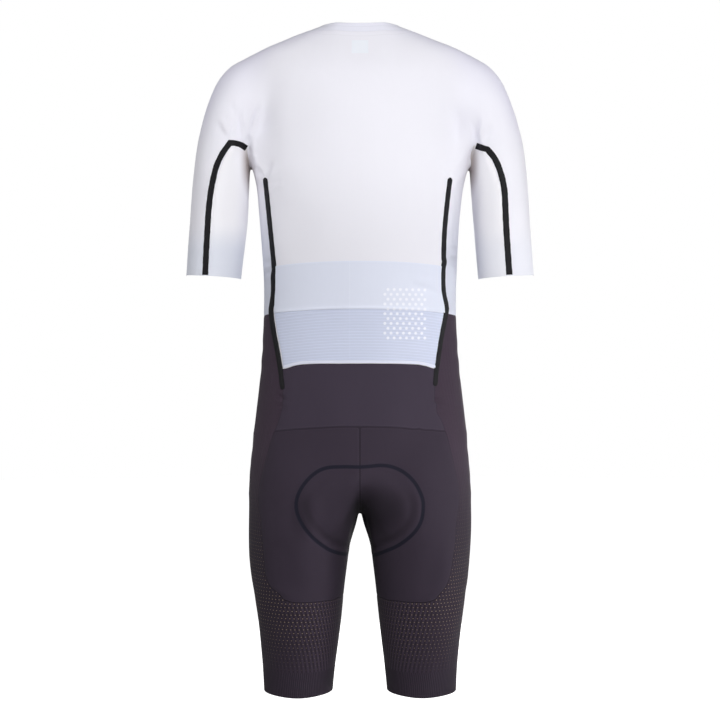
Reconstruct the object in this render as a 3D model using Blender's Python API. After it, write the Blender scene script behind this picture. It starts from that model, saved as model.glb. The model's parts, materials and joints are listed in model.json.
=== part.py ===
"""A short-sleeved cycling skinsuit with mid-thigh legs, filled out as if it were worn.

The garment's back faces -Y, +X is the wearer's right, +Z is up, and the origin is the middle of the
neck opening. One smooth body, with trunk, arms and legs run together, gives the outer surface. A single
net of four-sided faces is laid on it, with its lines along the seams. The net is cut into the panels,
and each panel gets its own thickness, a hair clear of its neighbours. Sizes in the tables and in the net
are millimetres, and solid() turns them into metres.
"""

import math
from collections import namedtuple

import bmesh
import bpy
import numpy as np
from mathutils import Matrix, Vector
from mathutils.bvhtree import BVHTree

MM = 0.001

# Cloth and the gaps between its pieces
WALL = 1.0
SEAM_GAP = 0.3
ARMPIT_CLEARANCE = 0.4
LAYER_GAP = 0.35
RAISED_GAP = 0.6  # under the sleeve tapes and the label, which are stiffer than the cloth
PAD_THICKNESS = 6.0

# Trims
BODY_TAPE_WIDTH = 6.5
SLEEVE_TAPE_WIDTH = 9.5
TAPE_CORNER_RISES = (0.0, 0.4, 0.9, 1.2)
TAPE_END_STEP, TAPE_END_WIDTH_SHARE = 0.12, 0.45  # the body tapes narrow over a short step at each end
LABEL_WIDTH, LABEL_HEIGHT, LABEL_TOP = 24.0, 21.0, -24.5
ZIP_WIDTH = 6.0
CHAIN_PROUD = 0.3

# Zip slider and its pull tab
SLIDER_WIDTH, SLIDER_LENGTH, SLIDER_THICKNESS, SLIDER_EDGE = 7.5, 9.0, 2.2, 0.5
BRIDGE_HALF_WIDTH, BRIDGE_RADIUS, BRIDGE_HOLE, BRIDGE_SETBACK = 1.3, 2.1, 1.15, 1.0
HINGE_RISE = 1.6
PULL_LENGTH, PULL_HALF_WIDTH, PULL_THICKNESS = 20.0, 2.9, 1.2
PULL_WINDOW_HALF_WIDTH, PULL_WINDOW_END, PULL_CORNER = 1.7, 3.5, 1.5

# A horizontal section of the trunk, an arm or a leg. centre is how far out its middle lies, and back and
# front are its depths behind and before that middle.
Section = namedtuple("Section", "height centre half_width back front")

TRUNK = [
    Section(30, 0, 44, 54, 42),
    Section(14, 0, 53, 56, 43),
    Section(9, 0, 66, 58, 44),
    Section(0, 0, 89, 61, 46),
    Section(-9, 0, 110, 65, 48),
    Section(-18, 0, 130, 70, 50),
    Section(-27, 0, 149, 75, 52),
    Section(-40, 0, 166, 82, 55),
    Section(-57, 0, 171, 91, 59),
    Section(-72, 0, 169, 97, 68),
    Section(-100, 0, 163, 104, 88),
    Section(-130, 0, 158, 109, 104),
    Section(-165, 0, 156, 111, 114),
    Section(-214, 0, 158, 110, 119),
    Section(-256, 0, 152, 106, 118),
    Section(-300, 0, 148, 100, 112),
    Section(-345, 0, 145, 94, 104),
    Section(-390, 0, 143.5, 90, 98),
    Section(-430, 0, 144, 87, 95),
    Section(-487, 0, 147, 88, 95),
    Section(-530, 0, 151, 95, 99),
    Section(-571, 0, 156, 104, 103),
    Section(-613, 0, 161, 112, 105),
    Section(-655, 0, 164, 118, 104),
    Section(-697, 0, 167, 118, 100),
    Section(-740, 0, 168, 112, 94),
]
ARM = [
    Section(-30, 178, 42, 50, 48),
    Section(-60, 179, 43, 58, 56),
    Section(-100, 183, 46, 63, 61),
    Section(-148, 195, 45.2, 62, 60),
    Section(-196, 204, 44, 60, 58),
    Section(-235, 208.5, 43, 59, 57),
    Section(-277, 211.5, 42.5, 58, 56),
    Section(-319, 215, 42, 57, 55),
    Section(-363, 218.5, 41.5, 56, 54),
    Section(-400, 221, 41, 56, 54),
]
LEG = [
    Section(-600, 80, 80, 100, 96),
    Section(-655, 83, 81, 112, 100),
    Section(-697, 84.5, 82, 115, 99),
    Section(-735, 87, 80, 111, 96),
    Section(-762, 90, 76.5, 106, 93),
    Section(-802, 91.5, 71.5, 96, 87),
    Section(-829, 91.5, 68, 89, 82),
    Section(-856, 91, 64.5, 83, 77),
    Section(-883, 90.5, 61.5, 78, 72),
    Section(-910, 90.5, 58.5, 73, 68),
    Section(-937, 90.5, 55.5, 69, 65),
    Section(-964, 92, 53, 66, 62),
    Section(-1000, 92, 50.5, 63, 60),
]
TRUNK_ROUNDNESS, ARM_ROUNDNESS, LEG_ROUNDNESS = 2.25, 2.05, 2.1

# The shoulder's round top, the round bottom of the seat and the legs' tops inside it
SHOULDER_ROUNDS_FROM, SHOULDER_TOP = -130, -44
SEAT_ROUNDS_FROM, CROTCH_HEIGHT = -640, -722
LEG_ROUNDS_FROM, LEG_TOP = -650, -560
LIMB_TOP_ROUNDNESS, SEAT_ROUNDNESS = 2.0, 3.2

# How softly the limbs run into the trunk
SHOULDER_BLEND, ARMPIT_BLEND = 42.0, 6.0
SHOULDER_BLEND_FROM, ARMPIT_BLEND_FROM = -100, -190
CROTCH_BLEND = 16.0

# The seam between the back and the side of the body, from the top of its tape to the round corner above
# the knee: how far out it lies behind, on each side. The front's seam mirrors it.
SideSeam = namedtuple("SideSeam", "height left right")
SIDE_SEAM = [
    SideSeam(-222, 139, 132),
    SideSeam(-260, 135, 129),
    SideSeam(-296, 131, 125.5),
    SideSeam(-335, 127.5, 122),
    SideSeam(-362, 125.5, 121.5),
    SideSeam(-390, 126.5, 123.5),
    SideSeam(-417, 128, 127),
    SideSeam(-460, 121, 120),
    SideSeam(-502, 113.5, 112.5),
    SideSeam(-532, 112.5, 110),
    SideSeam(-556, 113, 109),
    SideSeam(-574, 117.5, 116),
    SideSeam(-594, 124.5, 124.5),
    SideSeam(-618, 132, 130.5),
    SideSeam(-666, 139, 136.5),
    SideSeam(-711, 143.5, 139),
    SideSeam(-750, 142.5, 139),
    SideSeam(-785, 139.5, 133.5),
    SideSeam(-820, 131, 125),
    SideSeam(-838, 110, 110),
]

# The seam down the back of the sleeve, below its corner, on each side
SleeveSeam = namedtuple("SleeveSeam", "height left right")
SLEEVE_SEAM = [
    SleeveSeam(-171, 190.5, 181),
    SleeveSeam(-181, 197.5, 187.5),
    SleeveSeam(-195, 206, 198),
    SleeveSeam(-216, 213.5, 206.5),
    SleeveSeam(-240, 218.5, 212),
    SleeveSeam(-267, 222, 213.5),
    SleeveSeam(-300, 224, 215),
    SleeveSeam(-333, 226, 217),
    SleeveSeam(-368, 227.5, 219),
]
# Where the sleeve's tape turns, and where it meets the body behind the armpit
Corner = namedtuple("Corner", "out height")
TAPE_CORNER = {"left": Corner(190.5, -171), "right": Corner(187.5, -181)}
BACK_OF_ARMPIT = {"left": Corner(167, -181), "right": Corner(168, -176)}
UNDERARM_OUT = 162.0
CUFF_HEIGHT, CUFF_CENTRE, CUFF_SLOPE = -364.5, 218.5, 0.1
CHEST_LINE = -190.0

# Heights of the collar's top edge and of the neck seam behind, at the side and in front
NeckLine = namedtuple("NeckLine", "back side front")
COLLAR_TOP = NeckLine(4, 10.5, -60)
NECK_SEAM = NeckLine(-10, 4.5, -75)
NECK_SIDES_TO = 0.3

# The net's rows round the trunk: their heights at the centre back, at the side seam, at the side and
# at the centre front. The first row is the chest line, which the sleeves share.
TrunkRow = namedtuple("TrunkRow", "centre_back seam side centre_front")
TRUNK_ROWS = [
    TrunkRow(-217, -222, -234, -219),
    TrunkRow(-245, -249, -256, -247),
    TrunkRow(-272, -276, -281, -274),
    TrunkRow(-298, -303, -306, -300),
    TrunkRow(-323, -329, -331, -326),
    TrunkRow(-347, -353, -354, -351),
    TrunkRow(-370, -376, -377, -374),
    TrunkRow(-393, -399, -400, -397),
    TrunkRow(-416.5, -421.5, -424.5, -424),
    TrunkRow(-440, -446, -448, -447),
    TrunkRow(-463, -470, -471, -470),
    TrunkRow(-487, -495, -496, -495),
    TrunkRow(-495, -503, -504, -505),
    TrunkRow(-517, -520, -522, -522),
    TrunkRow(-540, -543, -545, -545),
    TrunkRow(-563, -568, -570, -570),
    TrunkRow(-586, -594, -597, -596),
    TrunkRow(-614, -621, -624, -622),
    TrunkRow(-643, -651, -654, -650),
    TrunkRow(-680, -688, -690, -682),
]
POCKET_TOP_ROW, POCKET_SEAM_ROW, POCKET_HEM_ROW, POCKET_END_ROW = 6, 9, 12, 13
DARK_ROW, WAIST_ROW = 9, 17
TAPE_END_HEIGHT_SHARE = 0.55
BODY_TAPE_ROWS = (1, 14)

# The net's rows round a leg: their heights on its outer and inner sides
LegRow = namedtuple("LegRow", "outer inner")
LEG_ROWS = [
    LegRow(-722, -740),
    LegRow(-750, -760),
    LegRow(-776, -781),
    LegRow(-801, -803),
    LegRow(-822, -823),
    LegRow(-843, -842),
    LegRow(-877, -877),
    LegRow(-912, -912),
    LegRow(-947, -947),
    LegRow(-983, -983),
]
SEAT_END_ROW, MESH_END_ROW, LEG_END_ROW = 6, 9, 10
SEAT_CORNER_RISE = 5.0

# Columns of the net in each half: across the back, the side and the front, from the back of the armpit
# to the tape's corner, over the outside of the sleeve, and across the crotch
BACK, SIDE, FRONT = 6, 4, 6
CORNER_COLUMNS, SLEEVE_OUTER, CROTCH = 2, 6, 4
YOKE_ROWS, SLEEVE_ROWS = 9, 8
ARMPIT = BACK
TAPE_TURN = BACK + CORNER_COLUMNS
FRONT_TURN = TAPE_TURN + SLEEVE_OUTER
FRONT_ARMPIT = FRONT_TURN + CORNER_COLUMNS
YOKE_END = FRONT_ARMPIT + FRONT
FRONT_SEAM = BACK + SIDE
TRUNK_END = FRONT_SEAM + FRONT
INSEAM = TRUNK_END + CROTCH // 2
LEG_COLUMNS = TRUNK_END + CROTCH
SLEEVE_COLUMNS = SLEEVE_OUTER + 2 * CORNER_COLUMNS + SIDE
RELAX_ROUNDS = 60
TINY = 1e-9

# Where the search for a surface point starts and ends
BEYOND = 250
ARMPIT_ROOF = (-150, -260)
YOKE_REACH_IN, YOKE_REACH_OUT = 25, 120
CROTCH_REACH = 30
CROTCH_ROWS = (-680, -752)
CROTCH_MIDDLE, CROTCH_BEHIND, CROTCH_BEFORE = -4, -130, 120

# Colours as they look on a screen, from 0 to 255
WHITE = (240, 239, 246)
UNDER_SLEEVE = (236, 235, 243)
PALE_BLUE = (210, 212, 224)
COLLAR = (229, 229, 241)
POCKET_BAND = (213, 216, 231)
POCKET_RIBS = (200, 205, 226)
POCKET_EDGE = (216, 219, 238)
LABEL_GREY = (236, 238, 249)
TAPE_BLACK = (36, 34, 38)
WAIST_DARK = (69, 61, 74)
SEAT_DARK = (61, 53, 64)
MESH_DARK = (56, 49, 58)
HEM_DARK = (50, 45, 53)
PAD_DARK = (46, 42, 49)
ZIP_GREY = (205, 206, 216)
METAL_GREY = (176, 178, 184)


class Profile:
    """Smooth curves through a table's columns, read at any height."""

    def __init__(self, rows):
        table = np.array(sorted(rows), dtype=float)
        self.heights = table[:, 0]
        self.values = table[:, 1:]
        self.slopes = np.gradient(self.values, self.heights, axis=0)

    def at(self, height):
        height = np.clip(height, self.heights[0], self.heights[-1])
        low = np.clip(np.searchsorted(self.heights, height) - 1, 0, len(self.heights) - 2)
        step = (self.heights[low + 1] - self.heights[low])[..., None]
        share = (height - self.heights[low])[..., None] / step
        start, end = self.values[low], self.values[low + 1]
        leave, arrive = self.slopes[low] * step, self.slopes[low + 1] * step
        square, cube = share**2, share**3
        curve = (2 * cube - 3 * square + 1) * start + (3 * square - 2 * cube) * end
        curve += (cube - 2 * square + share) * leave + (cube - square) * arrive
        return np.moveaxis(curve, -1, 0)


class Tube:
    """Rounded sections one above the other. Angles turn from straight back towards the outside."""

    def __init__(self, sections, roundness):
        self.profile = Profile(sections)
        self.roundness = roundness

    def edge(self, angles, height):
        """Points on the section's edge."""
        angles = np.asarray(angles, dtype=float)
        height = np.broadcast_to(np.asarray(height, dtype=float), angles.shape)
        centre, half_width, back, front = self.profile.at(height)
        across, along = np.sin(angles), -np.cos(angles)
        reach = self.reach(across, along, half_width, np.where(along < 0, back, front))
        return np.stack([centre + reach * across, reach * along, height], -1)

    def reach(self, across, along, half_width, depth):
        """How far the edge lies from the middle, for a direction of length 1."""
        power = self.roundness
        return (np.abs(across / half_width) ** power + np.abs(along / depth) ** power) ** (-1 / power)

    def excess(self, points, shrink):
        """How far points lie outside the section that is shrunk by a share."""
        centre, half_width, back, front = self.profile.at(points[..., 2])
        across, along = points[..., 0] - centre, points[..., 1]
        distance = np.hypot(across, along) + TINY
        depth = np.where(along < 0, back, front)
        reach = self.reach(across / distance, along / distance, half_width, depth)
        return distance - shrink * reach

    def angle_at(self, out, height, facing):
        """The angle of the edge's point at a distance out, behind (facing -1) or in front (+1)."""
        centre, half_width, back, front = self.profile.at(np.array(float(height)))
        share = min(abs(out - centre) / half_width, 0.999)
        depth = back if facing < 0 else front
        along = facing * depth * (1 - share**self.roundness) ** (1 / self.roundness)
        return math.atan2(out - centre, -along)

    def evenly(self, start, end, height, count):
        """count + 1 angles from start to end that divide the edge into equal lengths."""
        angles = np.linspace(start, end, 80)
        steps = np.diff(self.edge(angles, height), axis=0)
        length = np.concatenate(([0], np.cumsum(np.linalg.norm(steps, axis=1))))
        return np.interp(np.linspace(0, length[-1], count + 1), length, angles)


TRUNK_TUBE = Tube(TRUNK, TRUNK_ROUNDNESS)
ARM_TUBE = Tube(ARM, ARM_ROUNDNESS)
LEG_TUBE = Tube(LEG, LEG_ROUNDNESS)
SIDE_SEAM_LINE = Profile(SIDE_SEAM)
SLEEVE_SEAM_LINE = Profile(SLEEVE_SEAM)


# ---------------------------------------------------------------- the body's shape


def round_end(height, start, end, roundness):
    """A share that falls from 1 at start to 0 at end, as a round end does."""
    share = np.clip((height - start) / (end - start), 0, 1)
    return (1 - share**roundness) ** (1 / roundness)


def join(first, second, softness):
    """The union of two shapes, with the crease between them filled softly."""
    share = np.clip(0.5 + 0.5 * (second - first) / softness, 0, 1)
    return second * (1 - share) + first * share - softness * share * (1 - share)


def body(points):
    """How far points lie outside the filled-out garment, negative inside."""
    half = np.stack([np.abs(points[..., 0]), points[..., 1], points[..., 2]], -1)
    height = half[..., 2]
    trunk = TRUNK_TUBE.excess(half, round_end(height, SEAT_ROUNDS_FROM, CROTCH_HEIGHT, SEAT_ROUNDNESS))
    arm = ARM_TUBE.excess(half, round_end(height, SHOULDER_ROUNDS_FROM, SHOULDER_TOP, LIMB_TOP_ROUNDNESS))
    leg = LEG_TUBE.excess(half, round_end(height, LEG_ROUNDS_FROM, LEG_TOP, LIMB_TOP_ROUNDNESS))
    softness = np.interp(
        height, (ARMPIT_BLEND_FROM, SHOULDER_BLEND_FROM), (ARMPIT_BLEND, SHOULDER_BLEND)
    )
    return join(join(trunk, arm, softness), leg, CROTCH_BLEND)


def slope(points, step=0.5):
    """The direction in which the body's outside lies, at points."""
    sides = [(body(points + step * axis) - body(points - step * axis)) / (2 * step) for axis in np.eye(3)]
    return np.stack(sides, -1)


def settle(points, rounds=10, furthest=15.0):
    """Moves points to the body's surface, along its slope."""
    points = np.array(points, dtype=float)
    for _ in range(rounds):
        outward = slope(points)
        move = outward * (body(points) / ((outward**2).sum(-1) + TINY))[..., None]
        length = np.linalg.norm(move, axis=-1, keepdims=True)
        points -= move * np.minimum(1, furthest / (length + TINY))
    return points


def first_outside(inside, outside, rounds=40):
    """The surface points between points inside the body and points outside it."""
    inside, outside = np.array(inside, dtype=float), np.array(outside, dtype=float)
    for _ in range(rounds):
        middle = (inside + outside) / 2
        within = (body(middle) < 0)[..., None]
        inside, outside = np.where(within, middle, inside), np.where(within, outside, middle)
    return outside


def on_face(out, height, facing):
    """The surface point behind (facing -1) or in front (+1) at a distance out and a height."""
    return first_outside((out, 0, height), (out, facing * BEYOND, height))


def under_arm(out, along):
    """The surface point of the armpit's roof."""
    inside, outside = ARMPIT_ROOF
    return first_outside((out, along, inside), (out, along, outside))


# ---------------------------------------------------------------- the net


def neck_row(line):
    """A row round the neck, at the trunk's edge. It dips as a U in front."""
    angles = np.linspace(0, math.pi, 80)
    lean = np.cos(angles)
    dip = np.clip((-lean - NECK_SIDES_TO) / (1 - NECK_SIDES_TO), 0, 1)
    behind = (line.back - line.side) * np.clip(lean, 0, 1) ** 1.6
    before = (line.front - line.side) * dip**2 * (3 - 2 * dip)
    points = TRUNK_TUBE.edge(angles, line.side + behind + before)
    for _ in range(RELAX_ROUNDS):
        wide = np.concatenate([mirrored(points[1:2]), points, mirrored(points[-2:-1])])
        points = settle((wide[:-2] + wide[2:]) / 2, rounds=2)
        points[[0, -1], 0] = 0
    length = np.concatenate(([0], np.cumsum(np.linalg.norm(np.diff(points, axis=0), axis=1))))
    even = np.linspace(0, length[-1], YOKE_END + 1)
    return np.stack([np.interp(even, length, points[:, axis]) for axis in range(3)], -1)


def armpit_row(side):
    """The row that runs from the centre back over the outside of the sleeve to the centre front."""
    armpit, corner = BACK_OF_ARMPIT[side], TAPE_CORNER[side]

    def across(facing):
        chest = [
            on_face(armpit.out * i / BACK, np.interp(i, (0, BACK), (CHEST_LINE, armpit.height)), facing)
            for i in range(BACK + 1)
        ]
        turn = [
            on_face(
                np.interp(i, (0, CORNER_COLUMNS), (armpit.out, corner.out)),
                np.interp(i, (0, CORNER_COLUMNS), (armpit.height, corner.height)),
                facing,
            )
            for i in range(1, CORNER_COLUMNS + 1)
        ]
        return chest + turn

    start = ARM_TUBE.angle_at(corner.out, corner.height, -1)
    angles = ARM_TUBE.evenly(start, math.pi - start, corner.height, SLEEVE_OUTER)
    outside = list(settle(ARM_TUBE.edge(angles[1:-1], corner.height)))
    return np.array(across(-1) + outside + across(1)[::-1])


def mirrored(points):
    return points * (-1, 1, 1)


def yoke_grid(side):
    """Rows from the collar's edge to the armpits, spread evenly over the shoulder."""
    seam, last = neck_row(NECK_SEAM), armpit_row(side)
    shares = np.linspace(0, 1, YOKE_ROWS)[:, None, None]
    straight = seam + (last - seam) * shares
    outward = slope(seam) * (1 - shares) + slope(last) * shares
    outward /= np.linalg.norm(outward, axis=-1, keepdims=True)
    over = first_outside(straight - YOKE_REACH_IN * outward, straight + YOKE_REACH_OUT * outward)
    over[0], over[-1] = seam, last
    grid = np.concatenate([[neck_row(COLLAR_TOP)], over])
    for _ in range(RELAX_ROUNDS):
        wide = np.concatenate([mirrored(grid[:, 1:2]), grid, mirrored(grid[:, -2:-1])], axis=1)
        average = (wide[:-2, 1:-1] + wide[2:, 1:-1] + wide[1:-1, :-2] + wide[1:-1, 2:]) / 4
        grid[2:-1] = settle(average[1:], rounds=3)
    return grid


def trunk_heights(row):
    """A row's height at each column."""
    back = np.linspace(0, 1, BACK + 1) ** 2
    side = 1 - np.linspace(-1, 1, SIDE + 1) ** 2
    front = np.linspace(1, 0, FRONT + 1) ** 2
    return np.concatenate([
        row.centre_back + (row.seam - row.centre_back) * back,
        (row.seam + (row.side - row.seam) * side)[1:-1],
        row.centre_front + (row.seam - row.centre_front) * front,
    ])


def trunk_row(row, side):
    """A row round the trunk, from the centre back to the centre front."""
    column = ("left", "right").index(side)
    out = SIDE_SEAM_LINE.at(np.array(float(row.seam)))[column]
    behind = TRUNK_TUBE.angle_at(out, row.seam, -1)
    before = TRUNK_TUBE.angle_at(out, row.seam, 1)
    angles = np.concatenate([
        TRUNK_TUBE.evenly(0, behind, row.seam, BACK),
        TRUNK_TUBE.evenly(behind, before, row.side, SIDE)[1:-1],
        TRUNK_TUBE.evenly(before, math.pi, row.seam, FRONT),
    ])
    return settle(TRUNK_TUBE.edge(angles, trunk_heights(row)))


def sleeve_row(index, top, side):
    """A row round the sleeve, from its back seam over the outside, the front and the inside."""
    column = ("left", "right").index(side)
    share = index / SLEEVE_ROWS
    seam_height = np.interp(share, (0, 1), (top[0][2], CUFF_HEIGHT))
    out = SLEEVE_SEAM_LINE.at(np.array(seam_height))[column]
    behind = ARM_TUBE.angle_at(out, seam_height, -1)
    outer = ARM_TUBE.evenly(behind, math.pi - behind, seam_height, SLEEVE_OUTER)
    inner = ARM_TUBE.evenly(
        math.pi - behind, 2 * math.pi + behind, seam_height, SLEEVE_COLUMNS - SLEEVE_OUTER
    )
    angles = np.concatenate([outer, inner[1:-1]])
    centres = ARM_TUBE.profile.at(top[:, 2])[0]
    top_angles = np.arctan2(top[:, 0] - centres, -top[:, 1])
    top_angles[SLEEVE_OUTER:] %= 2 * math.pi
    hold = (1 - share) ** 3
    angles = angles + (top_angles - angles) * hold
    across = ARM_TUBE.edge(angles, CUFF_HEIGHT)[:, 0]
    cuff = CUFF_HEIGHT + (across - CUFF_CENTRE) * CUFF_SLOPE
    heights = top[:, 2] + (cuff - top[:, 2]) * share
    return settle(ARM_TUBE.edge(angles, heights))


def crotch_points():
    """The points under the seat, from the centre back to the centre front."""
    high, low = CROTCH_ROWS
    lowest = first_outside(
        (0, CROTCH_MIDDLE, CROTCH_HEIGHT + CROTCH_REACH), (0, CROTCH_MIDDLE, CROTCH_HEIGHT - CROTCH_REACH)
    )
    behind = first_outside((0, 0, high), (0, CROTCH_BEHIND, low))
    before = first_outside((0, 0, high), (0, CROTCH_BEFORE, low))
    return [before, lowest, behind]


def leg_row(index, side):
    """A row round the leg, from its inner back over the outside and the front to the inside."""
    row = LEG_ROWS[index - 1]
    column = ("left", "right").index(side)
    middle = (row.outer + row.inner) / 2
    inside = -math.pi / 2
    if index <= SEAT_END_ROW:
        height = middle + (SEAT_CORNER_RISE if index == SEAT_END_ROW else 0)
        out = SIDE_SEAM_LINE.at(np.array(height))[column]
        behind = LEG_TUBE.angle_at(out, middle, -1)
        before = LEG_TUBE.angle_at(out, middle, 1)
    else:
        even = LEG_TUBE.evenly(inside, inside + 2 * math.pi, middle, LEG_COLUMNS)
        behind, before = even[BACK + CROTCH // 2], even[BACK + CROTCH // 2 + SIDE]
    angles = np.concatenate([
        LEG_TUBE.evenly(inside, behind, middle, BACK + CROTCH // 2)[CROTCH // 2:],
        LEG_TUBE.evenly(behind, before, middle, SIDE)[1:-1],
        LEG_TUBE.evenly(before, inside + 2 * math.pi, middle, FRONT + CROTCH // 2),
        LEG_TUBE.evenly(inside, behind, middle, BACK + CROTCH // 2)[1:CROTCH // 2] + 2 * math.pi,
    ])
    heights = middle + (row.outer - row.inner) / 2 * np.sin(angles)
    if index == SEAT_END_ROW:
        heights[[BACK, FRONT_SEAM]] += SEAT_CORNER_RISE
    return settle(LEG_TUBE.edge(angles, heights))


class Net:
    """Points and four-sided faces, each face in a panel. A half's points on the centre are shared."""

    def __init__(self):
        self.points = []
        self.index = {}
        self.faces = {}

    def add(self, side, region, row, column, point):
        on_centre = abs(point[0]) < 0.01
        key = ("centre" if on_centre else side, region, row, column)
        if key not in self.index:
            self.index[key] = len(self.points)
            sign = -1 if side == "left" else 1
            self.points.append((0.0 if on_centre else sign * point[0], point[1], point[2]))
        return self.index[key]

    def face(self, side, panel, corners):
        """Adds a face. The corners run down, then outward, on the right half."""
        corners = corners if side == "right" else corners[::-1]
        self.faces.setdefault(panel, []).append(tuple(corners))

    def finish(self):
        """Chooses each face's shorter diagonal, and works out the points' outward directions."""
        self.points = np.array(self.points)
        self.normals = np.zeros_like(self.points)
        self.triangles = {}
        for faces in self.faces.values():
            for face in faces:
                a, b, c, d = face
                slant = self.points[a] - self.points[c]
                other = self.points[b] - self.points[d]
                if np.linalg.norm(slant) <= np.linalg.norm(other):
                    self.triangles[face] = [(a, b, c), (a, c, d)]
                else:
                    self.triangles[face] = [(a, b, d), (b, c, d)]
                for corner, before, after in ((a, d, b), (b, a, c), (c, b, d), (d, c, a)):
                    ahead = self.points[after] - self.points[corner]
                    behind = self.points[before] - self.points[corner]
                    turn = np.cross(ahead, behind)
                    self.normals[corner] += turn / (np.linalg.norm(ahead) * np.linalg.norm(behind))
        self.normals /= np.linalg.norm(self.normals, axis=1, keepdims=True)


class Half:
    """One half of the net: its points by region, row and column."""

    def __init__(self, net, side):
        self.net, self.side = net, side
        yoke = yoke_grid(side)
        self.yoke = [self.row("yoke", r, yoke[r]) for r in range(YOKE_ROWS + 1)]
        armpit = yoke[-1]
        roof = self.roof(armpit[ARMPIT], armpit[FRONT_ARMPIT])
        roof_points = self.row("roof", 0, roof)
        last = self.yoke[-1]
        chest = last[:ARMPIT + 1] + roof_points + last[FRONT_ARMPIT:]
        self.trunk = [chest] + [
            self.row("trunk", r + 1, trunk_row(row, side)) for r, row in enumerate(TRUNK_ROWS)
        ]
        sleeve_top = last[TAPE_TURN:FRONT_ARMPIT + 1] + roof_points[::-1] + last[ARMPIT:TAPE_TURN]
        top = np.concatenate([armpit[TAPE_TURN:FRONT_ARMPIT + 1], roof[::-1], armpit[ARMPIT:TAPE_TURN]])
        self.sleeve = [sleeve_top] + [
            self.row("sleeve", r, sleeve_row(r, top, side)) for r in range(1, SLEEVE_ROWS + 1)
        ]
        crotch = self.row("crotch", 0, crotch_points())
        self.leg = [self.trunk[-1] + crotch] + [
            self.row("leg", r, leg_row(r, side)) for r in range(1, LEG_END_ROW + 1)
        ]

    def row(self, region, row, points):
        return [self.net.add(self.side, region, row, c, p) for c, p in enumerate(points)]

    def roof(self, behind, before):
        """The points of the armpit's roof, from its back to its front."""
        shares = np.linspace(0, 1, SIDE + 1)[1:-1]
        outs = np.interp(shares, (0, 0.5, 1), (behind[0], UNDERARM_OUT, before[0]))
        return [under_arm(out, np.interp(s, (0, 1), (behind[1], before[1]))) for out, s in zip(outs, shares)]

    def cells(self, rows, columns, first_row, last_row, panel, closed=False):
        """Adds the faces between rows and columns of a region to a panel."""
        for r in range(first_row, last_row):
            for c in columns:
                after = (c + 1) % len(rows[r]) if closed else c + 1
                corners = (rows[r][c], rows[r + 1][c], rows[r + 1][after], rows[r][after])
                self.net.face(self.side, panel, corners)

    def lay_panels(self):
        """Shares the half's faces out between the panels."""
        side = self.side
        back, flank = range(BACK), range(BACK, FRONT_SEAM)
        front, ring = range(FRONT_SEAM, TRUNK_END), range(LEG_COLUMNS)
        self.cells(self.yoke, range(YOKE_END), 0, 1, "collar")
        self.cells(self.yoke, range(FRONT_TURN), 1, YOKE_ROWS, "back")
        self.cells(self.yoke, range(FRONT_TURN, YOKE_END), 1, YOKE_ROWS, f"front_{side}")
        self.cells(self.sleeve, range(SLEEVE_OUTER), 0, SLEEVE_ROWS, "back", closed=True)
        under = range(SLEEVE_OUTER, SLEEVE_COLUMNS)
        self.cells(self.sleeve, under, 0, SLEEVE_ROWS, f"under_sleeve_{side}", closed=True)
        self.cells(self.trunk, back, 0, POCKET_END_ROW, "back")
        self.cells(self.trunk, back, POCKET_END_ROW, WAIST_ROW, "waist_back")
        self.cells(self.trunk, flank, 0, DARK_ROW, f"side_panel_{side}")
        self.cells(self.trunk, front, 0, DARK_ROW, f"front_{side}")
        last = len(TRUNK_ROWS)
        self.cells(self.trunk, back, WAIST_ROW, last, f"seat_{side}")
        self.cells(self.trunk, flank, DARK_ROW, last, f"mesh_leg_{side}")
        self.cells(self.trunk, front, DARK_ROW, last, f"front_leg_{side}")
        seat = [*range(INSEAM, LEG_COLUMNS), *back]
        self.cells(self.leg, seat, 0, SEAT_END_ROW, f"seat_{side}", closed=True)
        self.cells(self.leg, flank, 0, SEAT_END_ROW, f"mesh_leg_{side}", closed=True)
        self.cells(self.leg, range(FRONT_SEAM, INSEAM), 0, SEAT_END_ROW, f"front_leg_{side}", closed=True)
        self.cells(self.leg, ring, SEAT_END_ROW, MESH_END_ROW, f"mesh_leg_{side}", closed=True)
        self.cells(self.leg, ring, MESH_END_ROW, LEG_END_ROW, f"leg_hem_{side}", closed=True)


# ---------------------------------------------------------------- from the net to solids


def linear(colour):
    """A screen colour as the light that Blender's shaders take."""
    shares = [value / 255 for value in colour]
    return [s / 12.92 if s <= 0.04045 else ((s + 0.055) / 1.055) ** 2.4 for s in shares] + [1.0]


def finish_object(name, mesh, colour, roughness=0.8, metallic=0.0):
    """Puts a mesh in the scene with a material of its own."""
    material = bpy.data.materials.new(name)
    material.use_nodes = True
    shader = material.node_tree.nodes["Principled BSDF"]
    shader.inputs["Base Color"].default_value = linear(colour)
    shader.inputs["Roughness"].default_value = roughness
    shader.inputs["Metallic"].default_value = metallic
    mesh.materials.append(material)
    thing = bpy.data.objects.new(name, mesh)
    bpy.context.scene.collection.objects.link(thing)
    return thing


def solid(name, outer, inner, triangles, border, colour):
    """A closed wall from its outer and inner points, its faces and the edges round them."""
    count = len(outer)
    faces = list(triangles)
    faces += [(c + count, b + count, a + count) for a, b, c in triangles]
    for a, b in border:
        faces += [(a, a + count, b + count), (a, b + count, b)]
    mesh = bpy.data.meshes.new(name)
    mesh.from_pydata((np.concatenate([outer, inner]) * MM).tolist(), [], faces)
    mesh.shade_smooth()
    mesh.set_sharp_from_angle(angle=math.radians(50))
    return finish_object(name, mesh, colour)


def border_edges(faces):
    """The edges that only one face has, in that face's direction."""
    edges = [(a, b) for face in faces for a, b in zip(face, face[1:] + face[:1])]
    there = set(edges)
    return [(a, b) for a, b in edges if (b, a) not in there]


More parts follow.
